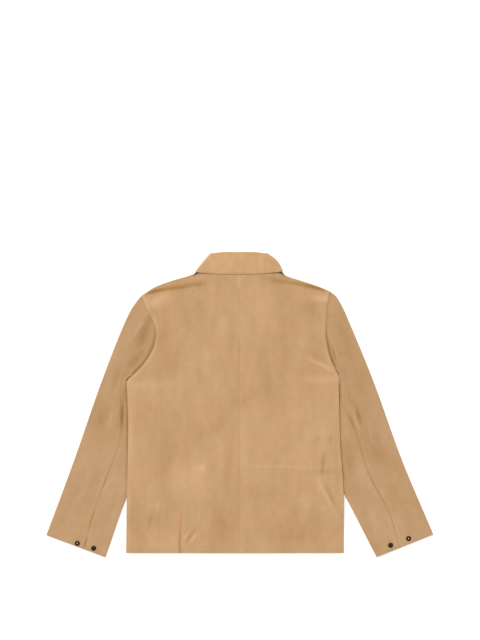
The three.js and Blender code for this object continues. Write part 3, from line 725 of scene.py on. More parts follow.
# A stitch is a bead with a point at either end: share of its length, girth, and how far it
# stands up, at five places along it.
STITCH = {"long": 2.7, "thick": 0.55, "sunk": 0.12, "spacing": 3.5}
STITCH_SIDES = 6
STITCH_STATIONS = [
    (-0.5, 0.0, -0.5), (-0.34, 0.8, -0.1), (0.0, 1.0, 0.0), (0.34, 0.8, -0.1), (0.5, 0.0, -0.5)
]


def thread(name, light, dark):
    """Twisted thread, lighter on its strands, with painted shade between them."""
    material, tree, shader, place = new_material(name)
    twist = wave(tree, place, "DIAGONAL", 900.0, 1.0)
    set_inputs(
        tree, shader, Base_Color=mixed(tree, twist, (*dark, 1), (*light, 1)), Roughness=0.7,
        Sheen_Weight=0.2, Normal=fine_relief(tree, twist, 0.4, 0.1 * MM),
    )
    return material


TONAL_THREAD = thread("tonal_thread", (0.66, 0.42, 0.22), (0.42, 0.25, 0.12))


def stitch_row(name, line, material, surface=WALL / 2, spacing=STITCH["spacing"]):
    """Stitches along a line of the cloth's middle, each sunk in the nap at both its ends."""
    line = np.asarray(line, float)
    run = lengths(line)
    count = max(2, int(run[-1] / spacing))
    spots = (np.arange(count) + 0.5) / count * run[-1]
    middle, ahead, behind = (
        np.column_stack([np.interp(spots + step, run, axis) for axis in line.T]) for step in (0, 0.5, -0.5)
    )
    along = (ahead - behind) / np.linalg.norm(ahead - behind, axis=1)[:, None]
    side = np.cross([0.0, 0.0, 1.0], along)
    side /= np.linalg.norm(side, axis=1)[:, None]
    up = np.cross(along, side)
    middle += up * (surface + STITCH["sunk"])
    points, faces = [], []
    for here, forward, across, over in zip(middle, along, side, up):
        tip = len(points)
        for share, girth, rise in STITCH_STATIONS:
            centre = here + forward * share * STITCH["long"] + over * rise * STITCH["thick"]
            for k in range(STITCH_SIDES if girth else 1):
                turn = math.tau * k / STITCH_SIDES
                swing = across * math.cos(turn) + over * math.sin(turn)
                points.append((centre + swing * girth * STITCH["thick"] / 2) * MM)
        first, second, third = (tip + 1 + ring * STITCH_SIDES for ring in range(3))
        for k in range(STITCH_SIDES):
            n = (k + 1) % STITCH_SIDES
            faces.append((tip, first + n, first + k))
            faces.append((first + k, first + n, second + n, second + k))
            faces.append((second + k, second + n, third + n, third + k))
            faces.append((third + k, third + n, third + STITCH_SIDES))
    mesh = bpy.data.meshes.new(name)
    mesh.from_pydata(points, [], faces)
    row = bpy.data.objects.new(name, mesh)
    bpy.context.scene.collection.objects.link(row)
    for face in mesh.polygons:
        face.use_smooth = True
    row.data.materials.append(material)
    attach(row, "root")
    return row


def hem_row(half):
    """The stitches that hold a hem, across one half of the body."""
    ends = CENTRE + half["sign"] * 3, half["sign"] * (half["side"][0][0] - 4)
    x, y = np.linspace(*ends, 80), np.full(80, HEM + HEM_TURN + 1.0)
    return np.column_stack([x, y, back_height(half, x, y)])


# The vent's tape: a narrow strip of terracotta suede 0.4 mm thick that covers the slit in the
# hem, left of the middle. It comes to a blunt point at its top and is sewn down its middle.
VENT = {"top": (-149.4, -271), "bottom": (-151, -371.6), "width": 4.4, "thick": 0.4}
VENT_SHAPE = {"crown": 0.45, "groove": (0, 0.35, -0.15), "gap": 0.12, "point": 0.35, "widens": 6}


def vent_tape(half):
    """The tape, along the cloth's own form, and its stitches."""
    up, across = np.linspace(1, 0, 61)[:, None], np.linspace(-1, 1, 9)
    (top_x, top_y), (bottom_x, bottom_y) = VENT["top"], VENT["bottom"]
    taper = np.clip(VENT_SHAPE["point"] + VENT_SHAPE["widens"] * (1 - up), 0, 1)
    y = bottom_y + (top_y - bottom_y) * up + 0 * across
    x = bottom_x + (top_x - bottom_x) * up + across * taper * VENT["width"] / 2
    x = x + 0.4 * waver(0 * y, 2 * y)
    domed = VENT_SHAPE["crown"] * (1 - across**4) + hump(across, VENT_SHAPE["groove"])
    z = back_height(half, x, y) + (WALL + VENT["thick"]) / 2 + VENT_SHAPE["gap"] + domed
    tones = 0.45 - 0.6 * ramp(0.05, 0.85, 1 - up) + 0.06 * waver(3 * x, 3 * y)
    tape = cloth_shell("vent_tape", np.dstack([x, y, z]), VENT["thick"], tones)
    terracotta = suede("terracotta_tape", (0.8, 0.36, 0.17), (0.36, 0.2, 0.075), (1.0, 0.97, 0.95))
    tape.data.materials.append(terracotta)
    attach(tape, "root")
    middle = np.column_stack([x[3:-2, 4], y[3:-2, 4], z[3:-2, 4]])
    rust = thread("terracotta_thread", (0.62, 0.27, 0.12), (0.36, 0.15, 0.07))
    return [tape, stitch_row("vent_stitches", middle, rust, VENT["thick"] / 2, 3.0)]


TONE_DEPTH = 1.3
# Painted highlight on the centre seam's ridge and painted shade in its groove: distance, half width and
# tone.
CENTRE_RIDGE_HIGHLIGHT = {"left": (5, 3, 0.1), "right": (5, 3, 0.02)}
CENTRE_GROOVE_SHADE = (0, 1.7, -0.22)
for side_name, half in HALVES.items():
    lines = half["lines"] = body_lines(half)
    half["centre_ridge"] = CENTRE_RIDGES[side_name]
    plan = body_plan(lines, lines["back_armhole"], lines["neck_back"], lines["neck_back"][0, 0])
    x, y = plan[..., 0], plan[..., 1]
    tones = TONE_DEPTH * folds(BACK_TONES_AND_SHADE, x, y) + 0.03 * waver(0.8 * x, 0.5 * y)
    armhole = distance_to(lines["fine_armhole"], x, y)
    # Painted shade in the armhole seam, with painted highlight on the ridges beside it and beside the side
    # seam.
    tones = tones + seam_shade_and_highlight(armhole, x, y, 0.6 * armhole_pull(y), 0.16)
    tones = tones + seam_shade_and_highlight(distance_to(lines["fine_side"], x, y), x, y, 0.0, 0.1)
    from_centre = half["sign"] * (x - CENTRE)
    ridge = hump(from_centre, CENTRE_RIDGE_HIGHLIGHT[side_name])
    tones = tones + centre_pull(y) * (ridge + hump(from_centre, CENTRE_GROOVE_SHADE))
    sheet = np.dstack([x, y, back_height(half, x, y)])
    sewn = sewn_edges(sheet, start=0, end=len(lines["side"]))
    piece = cloth_shell(f"suede_back_{side_name}", sheet, WALL, tones, sewn)
    stand_in(piece, f"back_{side_name}", SUEDE_BODY)
    trims = [stitch_row(f"hem_stitches_back_{side_name}", hem_row(half), TONAL_THREAD)]
    if side_name == "left":
        trims += vent_tape(half)


# The fronts, in two halves that lap at the middle: the same suede, under the back, face down on
# the surface. They are hidden, so they are plain, with a few shallow folds.
LAP = 17
LAP_LIFT = 1.9
LAP_STEP = WALL + 0.5
LAP_FADE = (20, 72)
NECK_FRONT = [(2, 230), (40, 252), (72, 294), (88, 338)]
FRONT_FOLDS = [
    (-150, 170, 70, 40, 14, 0.7),
    (150, 190, -68, 44, 14, 0.7),
    (-120, -280, 84, 60, 16, 0.7),
    (120, -260, 96, 60, 16, 0.6),
    (-180, -60, 76, 60, 16, 0.6),
    (160, -20, 100, 60, 16, 0.6),
]


def front_height(half, x, y):
    """Middle of the front's wall over the floor, lifted where the fronts lap and by the collar."""
    share = collar_share(x, y)
    lap = ramp(LAP_FADE[1], LAP_FADE[0], np.abs(x - CENTRE))
    above = LAP_STEP * lap if half["sign"] > 0 else 0
    soft = folds(FRONT_FOLDS, x, y) * (1 - lap) * (1 - share)
    flat = WALL / 2 + FRONT_COLLAR_LIFT * share + LAP_LIFT * lap * (1 - share)
    return flat + above + tuck_lift(half, x, y) + soft


for side_name, half in HALVES.items():
    lines = half["lines"]
    centre_x = CENTRE - half["sign"] * LAP
    neck_front = smooth_line(on_half(NECK_FRONT, half["sign"], CENTRE), shares(28))
    tab_start, tab_end = (centre_x, neck_front[0, 1] - 3), (CENTRE, neck_front[0, 1] - 1)
    neck = np.vstack([points_at(np.array([tab_start, tab_end], float), np.linspace(0, 1, 6)), neck_front])
    plan = body_plan(lines, lines["front_armhole"], neck, centre_x)
    x, y = plan[..., 0], plan[..., 1]
    tones = 0.04 * waver(0.8 * x, 0.5 * y)
    # Painted shade and painted highlight along the side seam.
    tones = tones + seam_shade_and_highlight(distance_to(lines["fine_side"], x, y), x, y, 0.1, 0.07)
    sheet = np.dstack([x, y, front_height(half, x, y)])
    piece = cloth_shell(f"suede_front_{side_name}", sheet, WALL, tones)
    stand_in(piece, f"front_{side_name}", SUEDE_BODY)


# The sleeves, each a top sleeve and a narrower under sleeve: flattened tubes with a fold down
# either side, sewn into the armholes, their hems turned in and stitched. The back seam shows
# from the elbow to the hem. The body's side lies over the inner fold.
FOLD_RADIUS = (TUBE_HEIGHT - WALL) / 2
FRONT_SEAM = 0.86
UNDER_ARMHOLE = 0.1
ARMHOLE_CLOSES = 0.86
SLEEVE_ROWS = 120
SLEEVE_FAN = 1.6
ARMHOLE_FADE = 8
FOLD_CELLS = 8
SLEEVE_CREASES = [
    (-247, 197, 61, 36, 4.5, 1.4),
    (-236, 176, 68, 40, 8, -1.4),
    (-239, 208, 64, 18, 4, -0.9),
    (-262, 104, 50, 28, 9, -1.2),
    (-292, -24, 84, 46, 5, -2.0),
    (-304, -20, 80, 50, 5, 0.9),
    (-320, -36, 78, 44, 6, 1.1),
    (-343, -36, 76, 30, 9, -1.0),
    (-322, 96, 66, 44, 10, 0.7),
    (-306, 66, 74, 34, 8, -0.6),
    (-300, -150, 66, 44, 8, 0.6),
    (-372, -190, 68, 40, 10, 0.6),
    (-400, -250, 68, 60, 10, 0.5),
    (-420, -300, 62, 26, 7, -0.5),
    (236, 126, -70, 18, 3.5, -0.9),
    (243, 121, -70, 18, 3.5, 0.9),
    (250, 116, -68, 16, 3.5, -0.7),
    (268, 168, -66, 50, 9, 0.7),
    (286, 110, -68, 44, 8, -0.6),
    (281, -46, -66, 26, 5, -1.9),
    (290, -44, -70, 30, 4.5, 1.1),
    (299, -36, -72, 30, 4.5, -1.4),
    (311, -50, -72, 36, 5, 1.0),
    (325, -70, -70, 40, 6, -0.7),
    (309, -172, -70, 30, 12, 1.0),
    (278, -146, -78, 34, 9, -0.9),
    (346, -106, -66, 60, 14, -0.8),
    (404, -210, -68, 60, 12, 0.6),
    (380, -120, -68, 50, 10, 0.5),
]
# Where the sleeve's nap lies lighter or darker, with painted shade in crease troughs and painted highlight
# on crease ridges, in the columns of the folds.
SLEEVE_TONES_AND_SHADE = [
    (-385, -345, 74, 12, 2.6, -0.3),
    (-420, -300, 62, 60, 24, 0.05),
    (-247, 197, 61, 38, 3.6, 0.2),
    (-236, 176, 70, 40, 9, -0.16),
    (-240, 211, 64, 12, 4.5, -0.14),
    (-262, 104, 50, 30, 10, -0.16),
    (-293, -30, 84, 34, 5, -0.3),
    (-320, -36, 78, 34, 6, 0.1),
    (-343, -36, 76, 26, 10, -0.12),
    (-306, 66, 74, 34, 10, -0.08),
    (-268, -60, 82, 60, 8, -0.1),
    (-410, -230, 68, 60, 20, -0.04),
    (236, 126, -70, 18, 3, -0.2),
    (244, 121, -70, 18, 3, 0.1),
    (262, 170, -68, 70, 12, -0.06),
    (281, -46, -66, 24, 4, -0.26),
    (299, -34, -72, 24, 4, -0.24),
    (290, -42, -70, 26, 4, 0.1),
    (325, -76, -76, 30, 3.5, 0.12),
    (346, -106, -66, 62, 20, -0.1),
    (309, -176, -70, 32, 14, 0.1),
    (278, -146, -80, 32, 10, -0.12),
    (300, 60, -68, 60, 20, -0.04),
]


def sleeve_lines(half):
    """The lines of one sleeve in plan: its folds, its armholes and its two seams."""
    sign = half["sign"]
    fine, armhole_run = np.linspace(0, 1, SLEEVE_ROWS + 1), np.linspace(0, 1, 61)
    fan = fine**SLEEVE_FAN
    outer = smooth_line(on_half(half["sleeve_outer"], sign), fine)
    inner = smooth_line(on_half(half["sleeve_inner"], sign), fan)
    lines = {"outer_across": across_line(outer, inner), "inner_across": across_line(inner, outer)}
    lines["outer_fold"] = outer + lines["outer_across"] * TUBE_HEIGHT / 2
    lines["inner_fold"] = inner + lines["inner_across"] * TUBE_HEIGHT / 2
    bends = on_half(half["back_seam"], sign)[1:-1]
    cuff = np.array([outer[-1], inner[-1]])
    closing = ramp(ARMHOLE_CLOSES, 1, armhole_run)[:, None]
    layers = (("back", bends, half["cuff_seam"]), ("front", bends[:2], FRONT_SEAM))
    for layer, seam_bends, cuff_share in layers:
        armhole_rows = on_half(half[f"{layer}_armhole"], sign)
        armhole = smooth_line(armhole_rows, UNDER_ARMHOLE + (1 - UNDER_ARMHOLE) * armhole_run)
        armhole = armhole + across_line(armhole, outer[-1]) * SEWN_GAP
        armhole = armhole + (lines["outer_fold"][0] - armhole[-1]) * closing
        lines[f"{layer}_armhole"] = armhole
        seam = [armhole[0], *seam_bends, points_at(cuff, [cuff_share])[0]]
        lines[f"{layer}_seam"] = smooth_line(seam, fan)
    lines["near"] = {
        "seam": lines["back_seam"][::3],
        "armhole": lines["back_armhole"][::2],
        "outer_fold": lines["outer_fold"][::3],
        "inner_fold": lines["inner_fold"][::3],
    }
    return lines


# Where the back seams pull tight: height up the cloth, half length, strength.
SEAM_PULLS = {
    "left": [(-52, 30, 0.5), (-192, 34, 1.0), (-288, 26, 0.9), (-345, 16, 0.4)],
    "right": [(-115, 24, 0.9), (-165, 22, 0.5), (-205, 34, 1.0), (-300, 26, 0.8), (-345, 12, 0.3)],
}
SEAM_SLACK = 0.12

# The sleeve's form beside its sewing, in the columns of the back's, and how it swells beside the
# body: where that starts, is full, fades and has gone, across and up the cloth.
SLEEVE_CREASE_DEPTH = 1.35
SLEEVE_WAVER = 0.25
SLEEVE_RIDGE = (6, 3.4, 0.6)
SLEEVE_GROOVE = (0, 2.4, -0.8)
CAP_DIP = (1, 4, -1.0)
CLEAR_OF_BODY = (2, 18)
FOLD_CALM = 9
SIDE_SWELL = {"height": 2.7, "across": (-1.2, 5, 14, 72), "up": (-256, -196, -36, 6)}
SIDE_SHADE = {"tone": 0.26, "across": (1.5, 4), "up": (-250, -200, -20, 0), "elbow": (20, 40, 0.35)}


def seam_pull(half, y):
    """How tight the back seam is pulled at a height up the cloth."""
    return SEAM_SLACK + sum(strength * bump(y, middle, long) for middle, long, strength in half["pulls"])


def beside_body(half, x, y):
    """How far out from the body's side seam a point of the sleeve lies."""
    side = half["lines"]["side"]
    return half["sign"] * x - np.interp(y, side[:, 1], np.abs(side[:, 0]))


def below_armpit(half, limits, y):
    """A plateau up the cloth whose upper two limits are measured from the armpit."""
    armpit = half["side"][-1][1]
    return plateau(limits[0], limits[1], armpit + limits[2], armpit + limits[3], y)


def sleeve_height(half, x, y):
    """Middle of the sleeve's upper wall over the floor."""
    near, beside = half["sleeve"]["near"], beside_body(half, x, y)
    clear = np.where(y > half["side"][-1][1], 1, ramp(*CLEAR_OF_BODY, beside))
    swell = plateau(*SIDE_SWELL["across"], beside) * below_armpit(half, SIDE_SWELL["up"], y)
    swell = swell * (0.75 + 0.3 * waver(0.3 * x, 1.4 * y))
    soft = folds(BROAD_FOLDS, x, y) + SLEEVE_CREASE_DEPTH * folds(SLEEVE_CREASES, x, y)
    seam, armhole, outer_fold, inner_fold = (distance_to(line, x, y) for line in near.values())
    sewn = seam_pull(half, y) * (hump(seam, SLEEVE_RIDGE) + hump(seam, SLEEVE_GROOVE))
    cap = (0.3 + 0.9 * armhole_pull(y)) * hump(armhole, CAP_DIP)
    soft = soft + SLEEVE_WAVER * waver(x + 40, y) + sewn + cap
    soft = np.where(soft > 0, soft * clear, soft) + SIDE_SWELL["height"] * swell
    return TOP_LAYER + soft * ramp(0, FOLD_CALM, np.minimum(outer_fold, inner_fold))


def sleeve_tones(half, x, y):
    """Where the sleeve's nap lies lighter or darker, with painted shade and highlight on its creases and
    seams, painted shade along its armhole, and painted shade along the side of the body.
    """
    near = half["sleeve"]["near"]
    seam, armhole = distance_to(near["seam"], x, y), distance_to(near["armhole"], x, y)
    tones = TONE_DEPTH * folds(SLEEVE_TONES_AND_SHADE, x, y) + 0.03 * waver(x, 0.6 * y)
    tones = tones + seam_pull(half, y) * seam_shade_and_highlight(seam, x, y, 0.34, 0.07)
    # Painted shade along the armhole seam, deepest where the seam pulls tight.
    tones = tones - 0.5 * armhole_pull(y) * bump(armhole, 0, 3.4)
    shade = 0.55 + 0.5 * waver(0 * x, 1.3 * y) + hump(y, SIDE_SHADE["elbow"])
    shade = shade * below_armpit(half, SIDE_SHADE["up"], y)
    return tones - SIDE_SHADE["tone"] * shade * bump(beside_body(half, x, y), *SIDE_SHADE["across"])


def sleeve_layer(armhole_edge, seam, fold):
    """One layer of a sleeve's piece in plan, from its seam to its fold, armhole to cuff."""
    cuff = points_at(np.array([seam[-1], fold[-1]]), np.linspace(0, 1, len(armhole_edge)))
    grid = patch(armhole_edge, cuff, seam, fold, ARMHOLE_FADE)
    return drawn_in(grid, ["start"])


def fold_round(edge, across):
    """The points of a folded edge, from the upper layer round to the lower one."""
    turns = [math.pi * (0.5 - (k + 1) / FOLD_CELLS) for k in range(FOLD_CELLS - 1)]
    rows = [
        np.column_stack([edge - across * FOLD_RADIUS * math.cos(turn),
                         np.full(len(edge), TUBE_HEIGHT / 2 + FOLD_RADIUS * math.sin(turn))])
        for turn in turns
    ]
    return np.stack(rows, axis=1)


def on_sleeve(half, ends, places):
    """Points on the sleeve's form, at shares of the way between two ends in plan."""
    plan = points_at(np.array(ends, float), places)
    return np.column_stack([plan, sleeve_height(half, *plan.T)])


# Each sleeve's suede is cut at its own angle, in degrees, from its own place in the skin.
SLEEVE_LAY = {"left": (20, (0.4, 0.2, 0)), "right": (-22, (0.1, 0.7, 0))}
CUFF_TURN = 27
BAR_TACK = [(-381.5, -334), (-387.5, -355)]
for side_name, half in HALVES.items():
    angle, place_in_skin = SLEEVE_LAY[side_name]
    sleeve_suede = suede(
        f"suede_sleeve_{side_name}", (0.73, 0.476, 0.285), (0.31, 0.16, 0.03), (1.012, 0.982, 0.972),
        turn=math.radians(angle), seed=place_in_skin,
    )
    lines = half["sleeve"] = sleeve_lines(half)
    half["pulls"] = SEAM_PULLS[side_name]
    for part, fold in (("top", "outer"), ("under", "inner")):
        name = f"sleeve_{part}_{side_name}"
        edge, across = lines[f"{fold}_fold"], lines[f"{fold}_across"]
        layers = []
        for layer in ("back", "front"):
            armhole_edge = lines[f"{layer}_armhole"]
            if part == "under":
                armhole_edge = points_at(np.array([armhole_edge[0], edge[0]]), np.linspace(0, 1, 31))
            layers.append(sleeve_layer(armhole_edge, lines[f"{layer}_seam"], edge))
        x, y = layers[0][..., 0], layers[0][..., 1]
        upper = np.dstack([x, y, sleeve_height(half, x, y)])
        lower = np.dstack([layers[1], np.full(layers[1].shape[:2], WALL / 2)])[:, ::-1]
        round_points = fold_round(edge, across)
        sheet = np.concatenate([upper, round_points, lower], axis=1)
        hidden = np.zeros((len(sheet), round_points.shape[1] + lower.shape[1]))
        tones = np.hstack([sleeve_tones(half, x, y), hidden])
        sewn = sewn_edges(sheet, bottom=0, start=0, end=0)
        piece = cloth_shell(f"suede_{name}", sheet, WALL, tones, sewn)
        stand_in(piece, name, sleeve_suede)
        cuff = np.array([lines["back_seam"][-1], edge[-1]])
        cuff_turn = cuff + across_line(cuff, lines["back_seam"][0]) * CUFF_TURN
        row = on_sleeve(half, cuff_turn, np.linspace(0.04, 0.96, 30))
        trims = [stitch_row(f"cuff_stitches_{part}_{side_name}", row, TONAL_THREAD)]
        if name == "sleeve_under_left":
            tack = on_sleeve(half, BAR_TACK, np.linspace(0, 1, 12))
            olive = thread("olive_thread", (0.42, 0.33, 0.1), (0.24, 0.17, 0.05))
            trims.append(stitch_row("cuff_tack_left", tack, olive, spacing=1.9))


# The collar, in two halves with a seam at the centre back: a stand sewn to the neck, and a
# fall turned down over it and stitched along its edge. Pressed flat, it is a ring inside a
# ring, joined along the fold.
FOLD_CORNER = (66, 375.6)
COLLAR = {
    "fold_back": [(0, 378.2), (40, 377.8), FOLD_CORNER],
    "fold_front": [(2, 257), (34, 285), (60, 332), FOLD_CORNER],
    "stand_side": [FOLD_CORNER, (79, 357), (88, 338)],
    "neck_end": [(2, 257), (2, 230)],
    "fall_end": [(2, 257), (30, 228), (64, 194)],
}
FALL = {
    "left": {
        "back": [(0, 324), (60, 325.4), (104.5, 329)],
        "side": [FOLD_CORNER, (85.5, 353), (104.5, 329)],
        "front": [(64, 194), (90, 262), (104.5, 329)],
    },
    "right": {
        "back": [(0, 324), (60, 326), (105, 331)],
        "side": [FOLD_CORNER, (92, 354), (105, 331)],
        "front": [(64, 194), (91, 262), (105, 331)],
    },
}
NECK_MIDDLE = 330
COLLAR_COLUMNS = 40
STAND_ROWS = 10
FALL_ROWS = 26
TURN_CELLS = 10
CORNER_LEAN = (0.92, 0.38)
LEAN_START = 0.55
CORNER_FLATTENING = 0.75


def collar_ring(back, front, outward, half_height, reach=None):
    """One row of the flattened collar: along the back, round the side and along the front."""
    turn = np.arange(1, TURN_CELLS) / TURN_CELLS
    angle = math.pi * (0.5 - turn)
    plan = back[-1] + (front[-1] - back[-1]) * turn[:, None]
    plan = plan + np.outer(half_height * np.cos(angle), outward)
    flat = np.vstack([back, plan, front[::-1]])
    height = np.concatenate([
        np.full(len(back), half_height), half_height * np.sin(angle), np.full(len(front), -half_height)
    ])
    if reach is not None:
        flat = flat + reach
    return np.column_stack([flat, COLLAR_MIDDLE + height])


def collar_grid(half, fall):
    """The middle of one half of the collar, row by row from neck to fold to the fall's edge."""
    sign = half["sign"]

    def line(rows, cells, turned=False):
        points = smooth_line(on_half(rows, sign, CENTRE), np.linspace(0, 1, cells + 1))
        return points[::-1] if turned else points

    fold_back = line(COLLAR["fold_back"], COLLAR_COLUMNS)
    fold_front = line(COLLAR["fold_front"], COLLAR_COLUMNS)
    neck_back, neck_front = line(NECK_BACK, COLLAR_COLUMNS), line(NECK_FRONT, COLLAR_COLUMNS)
    stand_side = line(COLLAR["stand_side"], STAND_ROWS, True)
    fall_side = line(fall["side"], FALL_ROWS, True)
    fall_edge, front_edge = line(fall["back"], COLLAR_COLUMNS), line(fall["front"], COLLAR_COLUMNS)
    neck_end = line(COLLAR["neck_end"], STAND_ROWS, True)
    fall_end = line(COLLAR["fall_end"], FALL_ROWS, True)
    up_stand, up_fall = np.linspace(0, 1, STAND_ROWS + 1), np.linspace(0, 1, FALL_ROWS + 1)
    stand_start = points_at(np.array([neck_back[0], fold_back[0]]), up_stand)
    fall_start = points_at(np.array([fall_edge[0], fold_back[0]]), up_fall)
    stand_back = drawn_in(patch(neck_back, fold_back, stand_start, stand_side), ["bottom", "start"])
    stand_front = drawn_in(patch(neck_front, fold_front, neck_end, stand_side), ["bottom"])
    fall_back = drawn_in(patch(fall_edge, fold_back, fall_start, fall_side), ["start"])
    fall_front = patch(front_edge, fold_front, fall_end, fall_side)
    neck_middle = np.array([CENTRE, float(NECK_MIDDLE)])
    lean = np.array([sign * CORNER_LEAN[0], CORNER_LEAN[1]])
    outs = []
    for side_line, up in ((stand_side, up_stand), (fall_side, up_fall)):
        share = ramp(LEAN_START, 1, up)[:, None]
        out = -across_line(side_line, neck_middle) * (1 - share) + lean * share
        outs.append(out / np.linalg.norm(out, axis=1)[:, None])
    stand_out, fall_out = outs
    stand = [collar_ring(*row, STAND_HALF) for row in zip(stand_back, stand_front, stand_out)]
    folded = [collar_ring(*row, FALL_HALF) for row in zip(fall_back, fall_front, fall_out)]
    back_out, front_out = -across_line(fold_back, fall_back[0]), -across_line(fold_front, fall_front[0])
    turn = (np.arange(1, TURN_CELLS) / TURN_CELLS)[:, None]
    corner = back_out[-1] * (1 - turn) + front_out[-1] * turn
    corner /= np.linalg.norm(corner, axis=1)[:, None]
    outward = np.vstack([back_out, corner, front_out[::-1]])
    at_corner = bump(np.arange(len(outward)), COLLAR_COLUMNS + TURN_CELLS / 2, TURN_CELLS)
    outward = outward * (1 - CORNER_FLATTENING * at_corner)[:, None]
    radius = (FALL_HALF - STAND_HALF) / 2
    fold = []
    for share in np.arange(1, TURN_CELLS) / TURN_CELLS:
        side = stand_out[-1] * (1 - share) + fall_out[-1] * share
        side /= np.linalg.norm(side)
        half_height = STAND_HALF + radius * (1 - math.cos(math.pi * share))
        reach = outward * radius * math.sin(math.pi * share)
        fold.append(collar_ring(stand_back[-1], stand_front[-1], side, half_height, reach))
    return np.stack([*stand, *fold, *folded[::-1]]), len(stand) + len(fold)


# The form of the fall that shows: where its lower edge lies, how tall it is, how far its middle
# swells and its edge droops. The ranges are distances from the centre seam and up the cloth.
FALL_CROWN = {"edge": 327, "tall": 52, "height": 1.3, "across": (104, 60)}
FALL_WAVER = {"height": 0.12, "across": (104, 80)}
FALL_DROOP = {"height": 1.2, "up": (331, 324.5), "across": (98, 88)}
FALL_RIDGE = (5, 3, 0.12)
FALL_GROOVE = (0, 2, -0.12)
# The fall's tones: lighter along its edge, painted shade along its fold and along the centre seam.
FALL_TONES_AND_SHADE = {"edge": (329, 4, 0.07), "fold": (376, 5, -0.05), "seam": (0, 1.8, -0.05)}


def fall_form(x, y):
    """How much the fall rises above its flat ring."""
    across = np.abs(x - CENTRE)
    up = np.clip((y - FALL_CROWN["edge"]) / FALL_CROWN["tall"], 0, 1)
    crown = FALL_CROWN["height"] * np.sin(math.pi * up) * ramp(*FALL_CROWN["across"], across)
    crown = crown + FALL_WAVER["height"] * waver(1.5 * x, 1.5 * y) * ramp(*FALL_WAVER["across"], across)
    droop = FALL_DROOP["height"] * ramp(*FALL_DROOP["up"], y) * ramp(*FALL_DROOP["across"], across)
    return np.maximum(crown, 0) - droop + hump(across, FALL_RIDGE) + hump(across, FALL_GROOVE)


def fall_tones(x, y):
    """The fall is lighter along its edge, with painted shade along its fold and its seam."""
    wear_and_painted_light = hump(y, FALL_TONES_AND_SHADE["edge"]) + hump(y, FALL_TONES_AND_SHADE["fold"])
    return wear_and_painted_light + hump(np.abs(x - CENTRE), FALL_TONES_AND_SHADE["seam"]) + 0.03 * waver(x, y)


SUEDE_COLLAR = suede(
    "suede_collar", (0.86, 0.57, 0.332), (0.385, 0.196, 0.05), (1.012, 0.985, 0.975), seed=(0.9, 0.3, 0)
)
for side_name, half in HALVES.items():
    sheet, fall_start = collar_grid(half, FALL[side_name])
    x, y = sheet[..., 0], sheet[..., 1]
    seen = np.zeros(x.shape)
    seen[fall_start:, : COLLAR_COLUMNS + 1] = 1
    tones = seen * fall_tones(x, y)
    sheet[..., 2] += seen * fall_form(x, y)
    piece = cloth_shell(f"suede_collar_{side_name}", sheet, WALL, tones, sewn_edges(sheet, start=0))
    stand_in(piece, f"collar_{side_name}", SUEDE_COLLAR)
    edge_row = (sheet[-3, 1:COLLAR_COLUMNS - 1] + sheet[-4, 1:COLLAR_COLUMNS - 1]) / 2
    trims = [stitch_row(f"collar_stitches_{side_name}", edge_row, TONAL_THREAD)]


# The undercollar, in two halves: dark olive felt-like cloth 1 mm thick, sewn under the fall.
# Its corners stand out as a sliver at either end of the fall.
UNDERCOLLAR_WALL = 1.0
UNDERCOLLAR_HEIGHT = COLLAR_MIDDLE + FALL_HALF - WALL / 2 - SEAM_GAP - UNDERCOLLAR_WALL / 2
UNDERCOLLAR = {
    "top": [(0.2, 374), (36, 373), (62, 369)],
    "bottom": [(0.2, 333), (60, 333), (90, 332), (104, 327), (115.5, 319.5)],
    "side": [(62, 369), (84, 350), (104, 334), (115.5, 319.5)],
}


def olive_cloth():
    """A close weave of dark olive threads, with a little fluff."""
    material, tree, shader, place = new_material("olive_cloth")
    warp, weft = (wave(tree, place, direction, 380.0, 0.6) for direction in "XY")
    weave = combine(tree, "MULTIPLY", warp, weft)
    fluff = noise(tree, place, 900.0, 3.0, 0.6)
    share = combine(tree, "MULTIPLY", combine(tree, "ADD", weave, fluff), 0.6, clamp=True)
    threads = mixed(tree, share, (0.035, 0.042, 0.017, 1), (0.085, 0.092, 0.04, 1))
    set_inputs(
        tree, shader, Base_Color=threads, Roughness=0.95, Sheen_Weight=0.15,
        Normal=fine_relief(tree, weave, 0.5, 0.2 * MM),
    )
    return material


OLIVE_CLOTH = olive_cloth()
for side_name, half in HALVES.items():
    cells, rows = np.linspace(0, 1, 41), np.linspace(0, 1, 21)
    bottom, top, side = (
        smooth_line(on_half(UNDERCOLLAR[name], half["sign"], CENTRE), places)
        for name, places in (("bottom", cells), ("top", cells), ("side", rows))
    )
    plan = patch(bottom, top, points_at(np.array([bottom[0], top[0]]), rows), side[::-1])
    sheet = np.dstack([plan, np.full(plan.shape[:2], UNDERCOLLAR_HEIGHT)])
    piece = cloth_shell(f"olive_undercollar_{side_name}", sheet, UNDERCOLLAR_WALL, 0)
    stand_in(piece, f"undercollar_{side_name}", OLIVE_CLOTH)


# The snaps: two-part press studs of dark antique brass, 13 mm across. On each cuff one shows
# its domed cap and one its ring with a sunk middle. The closing has six caps, on the far side.
SNAP_RADIUS = 6.5
SNAP_SIDES = 48
PLATE_THICK = 0.6
RIM_BEVEL = 0.12
POLISHED_RADIUS = 1.7
SNAP_SEAT_GAP = 0.1
FRONT_SNAPS = 6

# How a snap's top is formed: inset and climb of each step in turn, from the rim inwards, in mm.
CAP_STEPS = [(0.55, 0.34), (0.5, 0.16), (0.35, -0.14), (0.5, 0.3), (1.2, 0.22), (1.6, 0.1)]
RING_STEPS = [
    (0.5, 0.5), (0.9, 0.4), (1.3, -0.05), (0.7, -0.45), (0.6, -0.4), (0.5, 0.05), (0.35, 0.25), (0.9, 0.2)
]


